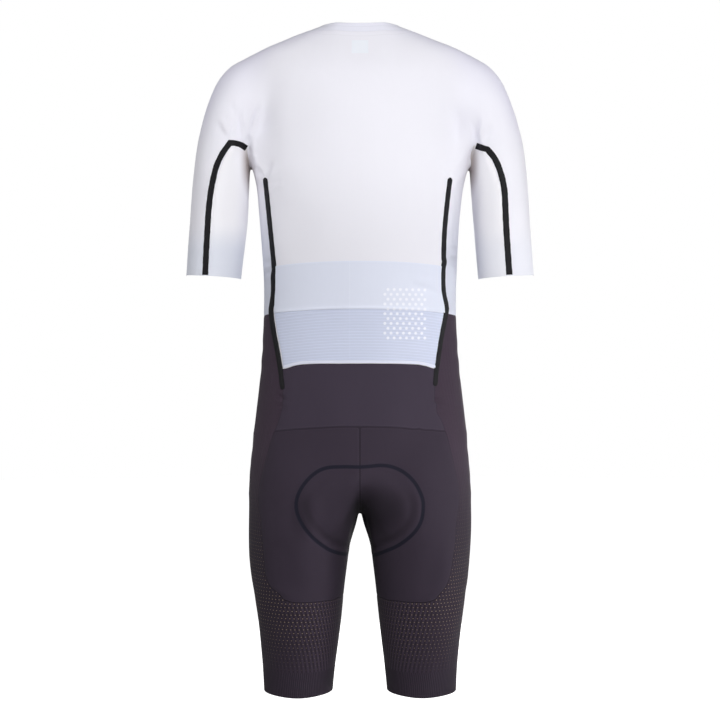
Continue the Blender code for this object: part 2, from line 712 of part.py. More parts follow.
def inset_moves(net, faces, insets):
    """How far each border point moves inward, so that its edges move by their insets."""
    owner = {}
    for face in faces:
        for edge in zip(face, face[1:] + face[:1]):
            owner[edge] = face
    pulls = {}
    for a, b in border_edges(faces):
        corners = net.points[list(owner[(a, b)])]
        normal = np.cross(corners[2] - corners[0], corners[3] - corners[1])
        inward = np.cross(normal, net.points[b] - net.points[a])
        inward /= np.linalg.norm(inward)
        distance = insets.get(frozenset((a, b)), SEAM_GAP / 2)
        for point in (a, b):
            pulls.setdefault(point, []).append((inward, distance))
    moves = {}
    for point, ((first, near), (second, far)) in pulls.items():
        # The move whose parts along the two inward directions are the two insets
        mix = float(np.clip(first @ second, -0.9, 1.0))
        if mix > 0.9:
            moves[point] = (first * near + second * far) / 2
        else:
            moves[point] = (first * (near - mix * far) + second * (far - mix * near)) / (1 - mix**2)
    return moves


def panel(net, name, faces, colour, lift=0.0, thickness=WALL, insets=None):
    """A panel of cloth: the net's faces, a hair inside their seams, with a wall behind them."""
    moves = inset_moves(net, faces, insets or {})
    used = sorted({point for face in faces for point in face})
    place = {point: i for i, point in enumerate(used)}
    base = net.points[used] + np.array([moves.get(point, (0, 0, 0)) for point in used])
    outer = base + net.normals[used] * lift
    inner = outer - net.normals[used] * thickness
    triangles = [tuple(place[p] for p in corner) for face in faces for corner in net.triangles[face]]
    border = [(place[a], place[b]) for a, b in border_edges(faces)]
    return solid(name, outer, inner, triangles, border, colour)


Spot = namedtuple("Spot", "point normal")


def spot(net, index):
    return Spot(net.points[index], net.normals[index])


def between(first, second, share):
    """The spot a share of the way from one to another."""
    normal = first.normal + (second.normal - first.normal) * share
    return Spot(first.point + (second.point - first.point) * share, normal / np.linalg.norm(normal))


def towards(first, second, distance):
    """The spot at a distance from one towards another."""
    return between(first, second, distance / np.linalg.norm(second.point - first.point))


def strip(name, rows, lift, thickness, colour):
    """A narrow band whose rows each give three spots: one edge, the middle and the other edge."""
    spots = [s for row in rows for s in row]
    base = np.array([s.point for s in spots])
    normals = np.array([s.normal for s in spots])
    faces = []
    for r in range(len(rows) - 1):
        for c in range(2):
            a, b = 3 * r + c, 3 * (r + 1) + c
            faces.append((a, b, b + 1, a + 1))
    sample = np.cross(base[faces[0][1]] - base[faces[0][0]], base[faces[0][3]] - base[faces[0][0]])
    if sample @ normals[0] < 0:
        faces = [face[::-1] for face in faces]
    triangles = [t for a, b, c, d in faces for t in ((a, b, c), (a, c, d))]
    outer = base + normals * (lift + thickness)
    return solid(name, outer, base + normals * lift, triangles, border_edges(faces), colour)


# ---------------------------------------------------------------- trims


def body_tape(net, half):
    """The tape over the seam between the back and the side, with rounded ends."""
    wide, side = BODY_TAPE_WIDTH / 2, half.side
    first, last = BODY_TAPE_ROWS

    def row(index, share, width):
        centre, behind, before = (
            between(spot(net, half.trunk[index][c]), spot(net, half.trunk[index + 1][c]), share)
            for c in (BACK, BACK - 1, BACK + 1)
        )
        return towards(centre, behind, width), centre, towards(centre, before, width)

    narrow = wide * TAPE_END_WIDTH_SHARE
    rows = [row(first, 0.0, narrow), row(first, TAPE_END_STEP, wide)]
    rows += [row(r, 0.0, wide) for r in range(first + 1, last + 1)]
    rows += [row(last, TAPE_END_HEIGHT_SHARE - TAPE_END_STEP, wide), row(last, TAPE_END_HEIGHT_SHARE, narrow)]
    strip(f"body_tape_{side}", rows, LAYER_GAP, WALL, TAPE_BLACK)


def sleeve_tape(net, half):
    """The tape from behind the armpit to its corner and down the sleeve to the cuff."""
    wide = SLEEVE_TAPE_WIDTH / 2
    yoke, sleeve = half.yoke, half.sleeve
    last = SLEEVE_COLUMNS - CORNER_COLUMNS

    def across(column, share):
        """A row on the stretch from the armpit to the corner."""
        lines = (
            (yoke[-2][ARMPIT + column], yoke[-2][ARMPIT + column + 1]),
            (yoke[-1][ARMPIT + column], yoke[-1][ARMPIT + column + 1]),
            (sleeve[1][last + column], sleeve[1][(last + column + 1) % SLEEVE_COLUMNS]),
        )
        above, centre, below = (between(spot(net, a), spot(net, b), share) for a, b in lines)
        return towards(centre, above, wide), centre, towards(centre, below, wide)

    turn = spot(net, sleeve[0][0])
    around = [spot(net, i) for i in (yoke[-2][TAPE_TURN], sleeve[0][1], sleeve[0][-1], sleeve[1][0])]
    up, outside, inside, down = (towards(turn, other, wide).point - turn.point for other in around)
    corner = tuple(Spot(turn.point + move, turn.normal) for move in (up + outside, 0 * up, inside + down))
    rows = [across(0, 0.25), across(1, 0.0), across(1, 0.6), corner]
    # The tape stands a little higher where it bends round the sleeve
    for i, rise in enumerate(TAPE_CORNER_RISES):
        rows[i] = tuple(Spot(s.point + s.normal * rise, s.normal) for s in rows[i])
    for r in range(1, SLEEVE_ROWS + 1):
        centre, outer, inner = (spot(net, sleeve[r][c]) for c in (0, 1, -1))
        rows.append((towards(centre, outer, wide), centre, towards(centre, inner, wide)))
    strip(f"sleeve_tape_{half.side}", rows, RAISED_GAP, WALL, TAPE_BLACK)


def pocket(net, halves):
    """The pocket's plain band, its ribbed part and its hem, laid on the back panel."""
    insets = {}
    for half in halves:
        for r in range(POCKET_TOP_ROW, POCKET_END_ROW):
            edge = frozenset((half.trunk[r][BACK], half.trunk[r + 1][BACK]))
            insets[edge] = BODY_TAPE_WIDTH / 2 + SEAM_GAP
    stretches = (
        ("pocket_upper", POCKET_TOP_ROW, POCKET_SEAM_ROW, POCKET_BAND),
        ("pocket_lower", POCKET_SEAM_ROW, POCKET_HEM_ROW, POCKET_RIBS),
        ("pocket_hem", POCKET_HEM_ROW, POCKET_END_ROW, POCKET_EDGE),
    )
    for name, first, last, colour in stretches:
        faces = []
        for half in halves:
            for r in range(first, last):
                for c in range(BACK):
                    corners = (half.trunk[r][c], half.trunk[r + 1][c], half.trunk[r + 1][c + 1])
                    corners += (half.trunk[r][c + 1],)
                    faces.append(corners if half.side == "right" else corners[::-1])
        panel(net, name, faces, colour, lift=LAYER_GAP + WALL, insets=insets)


def seat_pad(net, halves):
    """The pad inside the seat: wider across the seat than between the legs."""
    faces = []
    last = len(TRUNK_ROWS)
    stretches = (
        ("trunk", last - 1, [*range(3), *range(TRUNK_END - 2, TRUNK_END)]),
        ("leg", 0, [*range(4), *range(TRUNK_END - 3, LEG_COLUMNS)]),
        ("leg", 1, [*range(3), *range(TRUNK_END - 2, LEG_COLUMNS)]),
        ("leg", 2, [*range(1), *range(TRUNK_END, LEG_COLUMNS)]),
    )
    for half in halves:
        for region, r, columns in stretches:
            rows = half.trunk if region == "trunk" else half.leg
            for c in columns:
                after = (c + 1) % len(rows[r])
                corners = (rows[r][c], rows[r + 1][c], rows[r + 1][after], rows[r][after])
                faces.append(corners if half.side == "right" else corners[::-1])
    panel(net, "seat_pad", faces, PAD_DARK, lift=-WALL - LAYER_GAP, thickness=PAD_THICKNESS)


def label(net):
    """A small square patch under the collar, on the back."""
    triangles = [t for faces in net.faces.values() for face in faces for t in net.triangles[face]]
    surface = BVHTree.FromPolygons(net.points.tolist(), triangles)
    steps = 2
    rows = []
    for r in range(steps + 1):
        row = []
        for c in range(steps + 1):
            out = LABEL_WIDTH * (c / steps - 0.5)
            height = LABEL_TOP - LABEL_HEIGHT * r / steps
            hit, normal, _, _ = surface.ray_cast(Vector((out, -BEYOND, height)), Vector((0, 1, 0)))
            row.append(Spot(np.array(hit), np.array(normal)))
        rows.append(row)
    strip("label", rows, RAISED_GAP, WALL, LABEL_GREY)


def zip_chain(net, right, left):
    """The closed zip between the two front edges, from the collar's edge to the dark panels."""
    pairs = [(right.yoke[r][YOKE_END], right.yoke[r][-2], left.yoke[r][-2]) for r in range(YOKE_ROWS + 1)]
    pairs += [
        (right.trunk[r][TRUNK_END], right.trunk[r][-2], left.trunk[r][-2]) for r in range(1, DARK_ROW + 1)
    ]
    rows = []
    for centre, outer, inner in pairs:
        middle = spot(net, centre)
        rows.append(
            (towards(middle, spot(net, outer), ZIP_WIDTH / 2), middle,
             towards(middle, spot(net, inner), ZIP_WIDTH / 2))
        )
    # The last row stops a hair above the dark panels
    rows[-1] = tuple(
        towards(after, before, SEAM_GAP) for after, before in zip(rows[-1], rows[-2])
    )
    strip("zip_chain", rows, -WALL, WALL + CHAIN_PROUD, ZIP_GREY)


def box_mesh(mesh, size, centre):
    """Adds a box to a bmesh and gives back its points."""
    made = bmesh.ops.create_cube(mesh, size=1.0)
    bmesh.ops.scale(mesh, vec=size, verts=made["verts"])
    bmesh.ops.translate(mesh, vec=centre, verts=made["verts"])
    return made["verts"]


def ring_mesh(mesh, outer, inner, half_width, centre, sides=16):
    """Adds a ring about the X axis to a bmesh."""
    loops = []
    for radius, out in ((outer, -1), (outer, 1), (inner, 1), (inner, -1)):
        loop = []
        for i in range(sides):
            angle = 2 * math.pi * i / sides
            along, up = radius * math.cos(angle), radius * math.sin(angle)
            loop.append(mesh.verts.new((out * half_width, centre[1] + along, centre[2] + up)))
        loops.append(loop)
    for first, second in zip(loops, loops[1:] + loops[:1]):
        for i in range(sides):
            j = (i + 1) % sides
            mesh.faces.new((first[i], first[j], second[j], second[i]))


def joined(mesh, name, place, colour, roughness, metallic):
    """A finished object from a bmesh in the slider's own axes, in millimetres."""
    bmesh.ops.recalc_face_normals(mesh, faces=mesh.faces)
    bmesh.ops.scale(mesh, vec=(MM, MM, MM), verts=mesh.verts)
    data = bpy.data.meshes.new(name)
    mesh.to_mesh(data)
    mesh.free()
    thing = finish_object(name, data, colour, roughness, metallic)
    thing.matrix_world = place
    return thing


def slider_place(net, half):
    """The slider's axes: X across, Y out of the cloth and Z up along the zip, on the zip's face."""
    top, bottom = (spot(net, half.yoke[r][YOKE_END]) for r in (0, 1))
    up = top.point - bottom.point
    up /= np.linalg.norm(up)
    out = np.cross(up, (1, 0, 0))
    middle = (top.point + bottom.point) / 2 + out * (CHAIN_PROUD + SEAM_GAP)
    place = Matrix.Translation(Vector(middle * MM))
    place.col[0][:3], place.col[1][:3], place.col[2][:3] = (1, 0, 0), out, up
    return place


def zip_slider(place):
    """The slider's body, with a bridge that the pull tab hangs from."""
    body_mesh = bmesh.new()
    size = (SLIDER_WIDTH, SLIDER_THICKNESS, SLIDER_LENGTH)
    points = box_mesh(body_mesh, size, (0, SLIDER_THICKNESS / 2, 0))
    edges = {edge for point in points for edge in point.link_edges}
    bmesh.ops.bevel(body_mesh, geom=list(edges), offset=SLIDER_EDGE, segments=2, affect="EDGES", profile=0.5)
    slider = joined(body_mesh, "zip_slider", place, METAL_GREY, 0.35, 0.9)
    bridge_mesh = bmesh.new()
    hinge = (0, SLIDER_THICKNESS + HINGE_RISE, SLIDER_LENGTH / 2 - BRIDGE_RADIUS - BRIDGE_SETBACK)
    ring_mesh(bridge_mesh, BRIDGE_RADIUS, BRIDGE_HOLE, BRIDGE_HALF_WIDTH, hinge)
    bridge = joined(bridge_mesh, "bridge_shape", place, METAL_GREY, 0.35, 0.9)
    bridge.hide_render = True
    bridge.display_type = "WIRE"
    union = slider.modifiers.new("bridge", "BOOLEAN")
    union.operation = "UNION"
    union.object = bridge
    return hinge


def zip_pull(place, hinge):
    """The pull tab: a plate with a window, whose top bar runs through the bridge."""
    half_bar = PULL_THICKNESS / 2
    wide, narrow = PULL_HALF_WIDTH, PULL_WINDOW_HALF_WIDTH
    outline = [(-wide, half_bar), (-wide, -PULL_LENGTH + PULL_CORNER), (-wide + PULL_CORNER, -PULL_LENGTH)]
    outline += [(-x, z) for x, z in reversed(outline)]
    window = [(-narrow, -half_bar), (-narrow, -PULL_WINDOW_END), (narrow, -PULL_WINDOW_END)]
    window += [(narrow, -half_bar)]
    mesh = bmesh.new()
    loops = []
    for shape in (outline, window):
        for along in (-half_bar, half_bar):
            loops.append([mesh.verts.new((x, along, z)) for x, z in shape])
    for near, far in (loops[:2], loops[2:]):
        for i in range(len(near)):
            j = (i + 1) % len(near)
            mesh.faces.new((near[i], near[j], far[j], far[i]))
    for plate, hole in ((loops[0], loops[2]), (loops[1], loops[3])):
        mesh.faces.new((plate[0], hole[0], hole[3], plate[5]))
        mesh.faces.new((plate[0], plate[1], hole[1], hole[0]))
        mesh.faces.new((plate[5], hole[3], hole[2], plate[4]))
        mesh.faces.new((plate[1], plate[2], plate[3], plate[4], hole[2], hole[1]))
    bmesh.ops.triangulate(mesh, faces=mesh.faces)
    joined(mesh, "zip_pull", place @ Matrix.Translation(Vector(hinge) * MM), METAL_GREY, 0.35, 0.9)


# ---------------------------------------------------------------- the whole garment


PANEL_COLOURS = {
    "collar": COLLAR,
    "back": WHITE,
    "front": WHITE,
    "under_sleeve": UNDER_SLEEVE,
    "side_panel": PALE_BLUE,
    "waist_back": WAIST_DARK,
    "seat": SEAT_DARK,
    "front_leg": SEAT_DARK,
    "mesh_leg": MESH_DARK,
    "leg_hem": HEM_DARK,
}


def zip_edges(half):
    """The front edges, which stay clear of the zip."""
    rows = [row[YOKE_END] for row in half.yoke] + [row[TRUNK_END] for row in half.trunk[1:DARK_ROW + 1]]
    clear = ZIP_WIDTH / 2 + SEAM_GAP
    return {frozenset(edge): clear for edge in zip(rows, rows[1:])}


def armpit_edges(half):
    """The seams that meet in the armpit's sharp corners, where the walls need more room."""
    corners = {half.yoke[-1][ARMPIT], half.yoke[-1][FRONT_ARMPIT]}
    around = zip(half.sleeve[0], half.sleeve[0][1:] + half.sleeve[0][:1])
    edges = [*zip(half.trunk[0], half.trunk[0][1:]), *around, *zip(half.trunk[0], half.trunk[1])]
    return {frozenset(edge): ARMPIT_CLEARANCE for edge in edges if corners & set(edge)}


def cut_at_front(net, faces, yoke, insets):
    """Gives the left half's front edge points of its own, so that the collar opens there."""
    twins = {}
    for row in (0, 1):
        index = yoke[row][YOKE_END]
        twins[index] = len(net.points)
        net.points = np.vstack([net.points, net.points[index]])
        net.normals = np.vstack([net.normals, net.normals[index]])
    insets[frozenset(twins.values())] = insets[frozenset(twins)]
    cut = []
    for face in faces:
        on_left = min(net.points[list(face), 0]) < -TINY
        twin = tuple(twins.get(p, p) if on_left else p for p in face)
        if twin != face:
            net.triangles[twin] = [
                tuple(twins.get(p, p) for p in corner) for corner in net.triangles[face]
            ]
        cut.append(twin)
    return cut


def main():
    for thing in list(bpy.data.objects):
        bpy.data.objects.remove(thing)
    net = Net()
    right, left = Half(net, "right"), Half(net, "left")
    for half in (right, left):
        half.lay_panels()
    net.finish()
    insets = zip_edges(right) | armpit_edges(right) | armpit_edges(left)
    for name, faces in net.faces.items():
        kind = name.removesuffix("_left").removesuffix("_right")
        if kind == "collar":
            # The collar is open in front, so its two front edges are not one seam
            faces = cut_at_front(net, faces, right.yoke, insets)
        panel(net, name, faces, PANEL_COLOURS[kind], insets=insets)
    for half in (right, left):
        body_tape(net, half)
        sleeve_tape(net, half)
    pocket(net, (right, left))
    seat_pad(net, (right, left))
    label(net)
    zip_chain(net, right, left)
    place = slider_place(net, right)
    zip_pull(place, zip_slider(place))


main()
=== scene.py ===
"""The looks of a cycling skinsuit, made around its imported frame: cloth, tapes, pocket, pad and front zip."""

import json
import math
from collections import namedtuple
from functools import cache, partial, reduce

import bmesh
import bpy
import numpy as np
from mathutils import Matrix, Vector
from mathutils.bvhtree import BVHTree
from mathutils.kdtree import KDTree

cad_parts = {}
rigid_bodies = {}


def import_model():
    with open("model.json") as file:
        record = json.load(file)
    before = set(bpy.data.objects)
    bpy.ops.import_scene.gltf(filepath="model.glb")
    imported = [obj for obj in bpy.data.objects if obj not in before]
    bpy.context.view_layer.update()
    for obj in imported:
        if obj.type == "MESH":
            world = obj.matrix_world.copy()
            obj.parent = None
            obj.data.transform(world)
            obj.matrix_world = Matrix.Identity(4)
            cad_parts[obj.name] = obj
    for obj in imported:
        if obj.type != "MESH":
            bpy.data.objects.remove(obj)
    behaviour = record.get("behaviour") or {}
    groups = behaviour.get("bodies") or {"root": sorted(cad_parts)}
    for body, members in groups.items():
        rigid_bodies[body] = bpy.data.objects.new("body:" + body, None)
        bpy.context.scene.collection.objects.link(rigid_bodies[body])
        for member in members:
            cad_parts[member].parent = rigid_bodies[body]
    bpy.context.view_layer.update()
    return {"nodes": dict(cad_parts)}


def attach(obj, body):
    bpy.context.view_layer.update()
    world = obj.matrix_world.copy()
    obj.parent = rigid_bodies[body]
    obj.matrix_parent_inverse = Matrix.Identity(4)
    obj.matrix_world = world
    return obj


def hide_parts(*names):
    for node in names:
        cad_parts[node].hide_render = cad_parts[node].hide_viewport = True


bl_info = {
    "name": "Cycling skinsuit",
    "version": (1, 0, 0),
    "blender": (4, 5, 0),
    "location": "3D View > Sidebar > Skinsuit",
    "description": "Makes the cloth, tapes, pocket, pad and zip of a cycling skinsuit around its frame",
    "category": "Add Mesh",
}

for leftover in list(bpy.data.objects):
    bpy.data.objects.remove(leftover)
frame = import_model()

MM = 0.001
GARMENT = "garment"
LEG_MIDDLE = 91 * MM

# ---------------------------------------------------------------- the pieces of cloth

# A sheet's flat size is its cut, in metres; area is in square metres.
Panel = namedtuple("Panel", "node piece slot flat area")

JERSEY_PANELS = (
    Panel("back", "white_back", "white_jersey", (0.86, 0.56), 0.28),
    Panel("front_left", "left_front", "white_jersey", (0.2, 0.43), 0.06),
    Panel("front_right", "right_front", "white_jersey", (0.2, 0.43), 0.057),
    Panel("under_sleeve_left", "left_under_sleeve", "under_sleeve_jersey", (0.17, 0.22), 0.03),
    Panel("under_sleeve_right", "right_under_sleeve", "under_sleeve_jersey", (0.17, 0.22), 0.027),
    Panel("side_panel_left", "left_side_panel", "pale_blue_jersey", (0.12, 0.26), 0.027),
    Panel("side_panel_right", "right_side_panel", "pale_blue_jersey", (0.13, 0.26), 0.03),
    Panel("collar", "collar_band", "collar_jersey", (0.47, 0.022), 0.007),
)
DARK_PANELS = (
    Panel("waist_back", "waist_panel", "waist_jersey", (0.27, 0.11), 0.022),
    Panel("seat_left", "left_seat", "seat_jersey", (0.2, 0.27), 0.046),
    Panel("seat_right", "right_seat", "seat_jersey", (0.2, 0.27), 0.045),
    Panel("front_leg_left", "left_front_leg", "seat_jersey", (0.2, 0.44), 0.064),
    Panel("front_leg_right", "right_front_leg", "seat_jersey", (0.2, 0.44), 0.062),
)
DOTTED_PANELS = (
    Panel("mesh_leg_left", "left_dotted_side", "dotted_knit", (0.4, 0.54), 0.11),
    Panel("mesh_leg_right", "right_dotted_side", "dotted_knit", (0.4, 0.54), 0.113),
)
HEM_PANELS = (
    Panel("leg_hem_left", "left_leg_hem", "hem_ribs", (0.375, 0.037), 0.0137),
    Panel("leg_hem_right", "right_leg_hem", "hem_ribs", (0.375, 0.037), 0.0137),
)
PANELS = JERSEY_PANELS + DARK_PANELS + DOTTED_PANELS + HEM_PANELS
NUMBER = {panel.node: number for number, panel in enumerate(PANELS)}

# Pieces that lie on the cloth, with the gap under them and their thickness in millimetres.
Layer = namedtuple("Layer", "node piece slot flat area lift thickness")

POCKET_LAYERS = (
    Layer("pocket_upper", "pocket_band", "pocket_band", (0.25, 0.082), 0.0183, 0.35, 0.9),
    Layer("pocket_lower", "pocket_ribs", "pocket_ribs", (0.25, 0.083), 0.0187, 0.2, 0.6),
    Layer("pocket_hem", "pocket_edge", "pocket_edge", (0.228, 0.01), 0.0009, 0.25, 1.1),
)
LABEL_LAYER = Layer("label", "label_patch", "label", (0.024, 0.024), 0.00057, 0.1, 0.35)

# Tapes: their middle lines seen from the back, in smooth runs that meet in corners. All in millimetres.
Tape = namedtuple("Tape", "node piece slot flat area width round_ends runs")

TAPES = (
    Tape(
        "body_tape_left", "left_body_tape", "bonded_tape", (0.34, 0.011), 0.0037, 6.9, True,
        (((-142.3, -217), (-138.8, -250), (-134.2, -296), (-131, -328), (-129, -348), (-128.6, -357),
          (-129.8, -367), (-129.4, -386), (-131.3, -404), (-133, -418), (-129.6, -446), (-124.6, -472),
          (-120.2, -498), (-116, -535)),),
    ),
    Tape(
        "body_tape_right", "right_body_tape", "bonded_tape", (0.34, 0.0105), 0.0034, 7.1, True,
        (((135.2, -217), (131.2, -250), (126.8, -296), (125.4, -334), (126.4, -343), (124.2, -356),
          (124.6, -386), (129, -410), (128.6, -420), (121.2, -460), (114.8, -505), (112.6, -530)),),
    ),
    Tape(
        "sleeve_tape_left", "left_sleeve_tape", "bonded_tape", (0.215, 0.0105), 0.0022, 8.7, False,
        (((-170.6, -172.8), (-179, -167.6), (-188, -165.2), (-195, -164.7)),
         ((-195, -164.7), (-206.4, -180.8), (-215, -199), (-220.2, -219), (-224.1, -240.4), (-227.1, -267.9),
          (-229, -298.5), (-230.7, -329), (-232.2, -365.2))),
    ),
    Tape(
        "sleeve_tape_right", "right_sleeve_tape", "bonded_tape", (0.215, 0.0105), 0.0021, 9.2, False,
        (((174.3, -169.2), (183, -172.2), (191.3, -174.6)),
         ((191.3, -174.6), (202.6, -189.2), (211, -209.8), (216.4, -234.3), (218, -261.9), (219.4, -292.5),
          (221.8, -329), (224.2, -364.8))),
    ),
)

# ---------------------------------------------------------------- meshes as arrays

RIM_EDGE = 1.6 * MM  # no face inside a panel has an edge as short as a wall is thick
SEAM_REACH = 1.5 * MM  # two panels' edges that lie this near are sewn together
DOUBLES = 0.01 * MM  # points as near as this are one point
RAY_LIFT = 0.1 * MM  # a ray starts this far off the face that it leaves
CURVE_STEPS = 16  # how many short stretches a smooth path has between two of its points
BACK_TURN = 20 * MM  # from back to front, the soft turn between them is this wide
TINY = 1e-12  # stands in for nothing where it would be divided by


@cache
def cad_tree():
    """All the frame's faces, for casting rays."""
    points, faces = [], []
    for thing in frame["nodes"].values():
        start = len(points)
        points += [tuple(point.co) for point in thing.data.vertices]
        thing.data.calc_loop_triangles()
        faces += [[start + corner for corner in face.vertices] for face in thing.data.loop_triangles]
    return BVHTree.FromPolygons(points, faces)


def patches(mesh):
    """The connected skins that are left of a wall without its narrow rims."""
    seen = {face for face in mesh.faces if min(edge.calc_length() for edge in face.edges) < RIM_EDGE}
    found = []
    for face in mesh.faces:
        if face in seen:
            continue
        seen.add(face)
        stack, patch = [face], []
        while stack:
            here = stack.pop()
            patch.append(here)
            for edge in here.edges:
                for near in edge.link_faces:
                    if near not in seen:
                        seen.add(near)
                        stack.append(near)
        found.append(patch)
    return sorted(found, key=lambda patch: -sum(face.calc_area() for face in patch))[:2]


def openness(patch):
    """The share of a skin's faces that look out past the whole garment."""
    free = 0
    for face in patch:
        start = face.calc_center_median() + face.normal * RAY_LIFT
        free += cad_tree().ray_cast(start, face.normal)[0] is None
    return free / len(patch)


def node_mesh(node):
    """A copy of a node's mesh with its doubles merged."""
    mesh = bmesh.new()
    mesh.from_mesh(frame["nodes"][node].data)
    bmesh.ops.remove_doubles(mesh, verts=mesh.verts, dist=DOUBLES)
    return mesh


def outer_skin(node):
    """The outer side of a node's wall, as points and triangles."""
    mesh = node_mesh(node)
    skin = max(patches(mesh), key=openness)
    place, points, faces = {}, [], []
    for face in skin:
        for point in face.verts:
            if point not in place:
                place[point] = len(points)
                points.append(tuple(point.co))
        faces.append([place[point] for point in face.verts])
    mesh.free()
    return points, faces


def quad_net(skins, reach=DOUBLES):
    """Sews skins along their edges into one net, mostly of quads. A face keeps its skin's number."""
    mesh = bmesh.new()
    for number, (points, faces) in enumerate(skins):
        made = [mesh.verts.new(point) for point in points]
        for face in faces:
            mesh.faces.new([made[corner] for corner in face]).material_index = number
    edge_points = [point for point in mesh.verts if point.is_boundary]
    bmesh.ops.remove_doubles(mesh, verts=edge_points, dist=reach)
    bmesh.ops.join_triangles(
        mesh, faces=mesh.faces, cmp_materials=True,
        angle_face_threshold=math.pi, angle_shape_threshold=math.pi,
    )
    mesh.verts.index_update()
    points = [tuple(point.co) for point in mesh.verts]
    faces = [[point.index for point in face.verts] for face in mesh.faces]
    numbers = [face.material_index for face in mesh.faces]
    mesh.free()
    return points, faces, numbers


def read(values, what, width, kind=float):
    """One property of all of a mesh's parts, as an array."""
    flat = np.empty(len(values) * width, kind)
    values.foreach_get(what, flat)
    return flat.reshape(-1, width) if width > 1 else flat


def smooth(points, faces, numbers, levels, fits=3):
    """Subdivides a net into a smooth surface that still passes through the net's points."""
    data = bpy.data.meshes.new("net")
    data.from_pydata(points, [], faces)
    data.polygons.foreach_set("material_index", numbers)
    for _ in range(max(numbers) + 1):
        data.materials.append(None)
    net = bpy.data.objects.new("net", data)
    bpy.context.collection.objects.link(net)
    subdivision = net.modifiers.new("smooth", "SUBSURF")
    subdivision.boundary_smooth = "PRESERVE_CORNERS"
    goal = np.array(points)
    control = goal.copy()
    for turn in range(fits + 1):
        subdivision.levels = subdivision.render_levels = levels if turn == fits else 1
        data.vertices.foreach_set("co", control.ravel())
        data.update()
        bpy.context.view_layer.update()
        shape = net.evaluated_get(bpy.context.evaluated_depsgraph_get())
        made = shape.to_mesh()
        coords = read(made.vertices, "co", 3)
        if turn == fits:
            quads = read(made.loops, "vertex_index", 1, int).reshape(-1, 4)
            skins = read(made.polygons, "material_index", 1, int)
        else:
            control += goal - coords[: len(goal)]
        shape.to_mesh_clear()
    bpy.data.objects.remove(net)
    bpy.data.meshes.remove(data)
    return coords, quads, skins


def point_normals(points, quads):
    """The outward direction at each point."""
    face = np.cross(points[quads[:, 2]] - points[quads[:, 0]], points[quads[:, 3]] - points[quads[:, 1]])
    total = np.zeros_like(points)
    for corners in quads.T:
        np.add.at(total, corners, face)
    return total / np.maximum(np.linalg.norm(total, axis=1, keepdims=True), TINY)


def shared_edges(quads, numbers):
    """Each edge of the quads once, with the lowest and highest number of its faces and how many it has."""
    edges = np.sort(np.stack([quads, np.roll(quads, -1, 1)], -1).reshape(-1, 2), 1)
    edges, place, count = np.unique(edges, axis=0, return_inverse=True, return_counts=True)
    owner = np.repeat(numbers, 4)
    place = place.ravel()
    low, high = np.full(len(edges), 999), np.full(len(edges), -1)
    np.minimum.at(low, place, owner)
    np.maximum.at(high, place, owner)
    return edges, low, high, count


def border_edges(quads):
    """The edges round a skin, which have a face on one side only."""
    edges, _, _, count = shared_edges(quads, np.zeros(len(quads), int))
    return edges[count == 1]


def segment_distance(points, starts, ends):
    """How far each point lies from the straight stretch that goes with it."""
    along = ends - starts
    share = np.sum((points - starts) * along, -1) / np.maximum(np.sum(along * along, -1), 1e-18)
    nearest = starts + along * np.clip(share, 0, 1)[..., None]
    return np.linalg.norm(points - nearest, axis=-1)


def search_tree(points):
    """A tree that finds the nearest of many points."""
    tree = KDTree(len(points))
    for number, point in enumerate(points):
        tree.insert(point, number)
    tree.balance()
    return tree


def line_distance(points, edges, tries=3):
    """How far each point lies from the nearest of some of the edges between them."""
    starts, ends = points[edges[:, 0]], points[edges[:, 1]]
    middles = search_tree((starts + ends) / 2)
    near = np.array([[hit[1] for hit in middles.find_n(point, tries)] for point in points])
    return np.min([segment_distance(points, starts[k], ends[k]) for k in near.T], axis=0)


def ease(value):
    """0 up to 0, 1 from 1 on, and an even turn between."""
    value = np.clip(value, 0, 1)
    return value * value * (3 - 2 * value)


def bell(value, width, middle=0):
    """1 in the middle, and an even fall to 0 at both sides."""
    return np.exp(-(((value - middle) / width) ** 2))


def behind(y):
    """1 on the garment's back, 0 on its front, with a soft turn between."""
    return ease(-y / BACK_TURN)


def run_along(line):
    """How far along a line each of its points lies."""
    return np.concatenate([[0], np.cumsum(np.linalg.norm(np.diff(line, axis=0), axis=1))])


def places_on(line, run, at):
    """The points of a line that lie some way along it."""
    return np.stack([np.interp(at, run, line[:, axis]) for axis in range(line.shape[1])], -1)


def smooth_run(path, step):
    """Points at even steps along a smooth curve through a path's points."""
    path = np.array(path, float)
    ends = np.concatenate([[2 * path[0] - path[1]], path, [2 * path[-1] - path[-2]]])
    dense = []
    for before, start, end, after in zip(ends, ends[1:], ends[2:], ends[3:]):
        for t in np.linspace(0, 1, CURVE_STEPS, endpoint=False):
            bend = (2 * before - 5 * start + 4 * end - after) * t * t
            turn = (3 * start - before - 3 * end + after) * t**3
            dense.append((2 * start + (end - before) * t + bend + turn) / 2)
    dense = np.array([*dense, path[-1]])
    run = run_along(dense)
    return places_on(dense, run, np.linspace(0, run[-1], max(2, round(run[-1] / step) + 1)))


# ---------------------------------------------------------------- the cloth's relief

EYE_BACK, EYE_HEIGHT = 2500 * MM, -490.5 * MM  # where the garment's back is looked at from


def back_view(points):
    """Where points lie across and up when the garment's back is looked at, at the depth of its middle."""
    nearer = 1 + points[:, 1] / EYE_BACK
    return np.stack([points[:, 0] / nearer, (points[:, 2] - EYE_HEIGHT) / nearer + EYE_HEIGHT], -1)


VIEWS = {  # the way each side faces, and the place of points seen from there
    "back": ((0, -1, 0), back_view),
    "front": ((0, 1, 0), lambda points: points[:, [0, 2]]),
    "left": ((-1, 0, 0), lambda points: points[:, [1, 2]]),
    "right": ((1, 0, 0), lambda points: points[:, [1, 2]]),
}

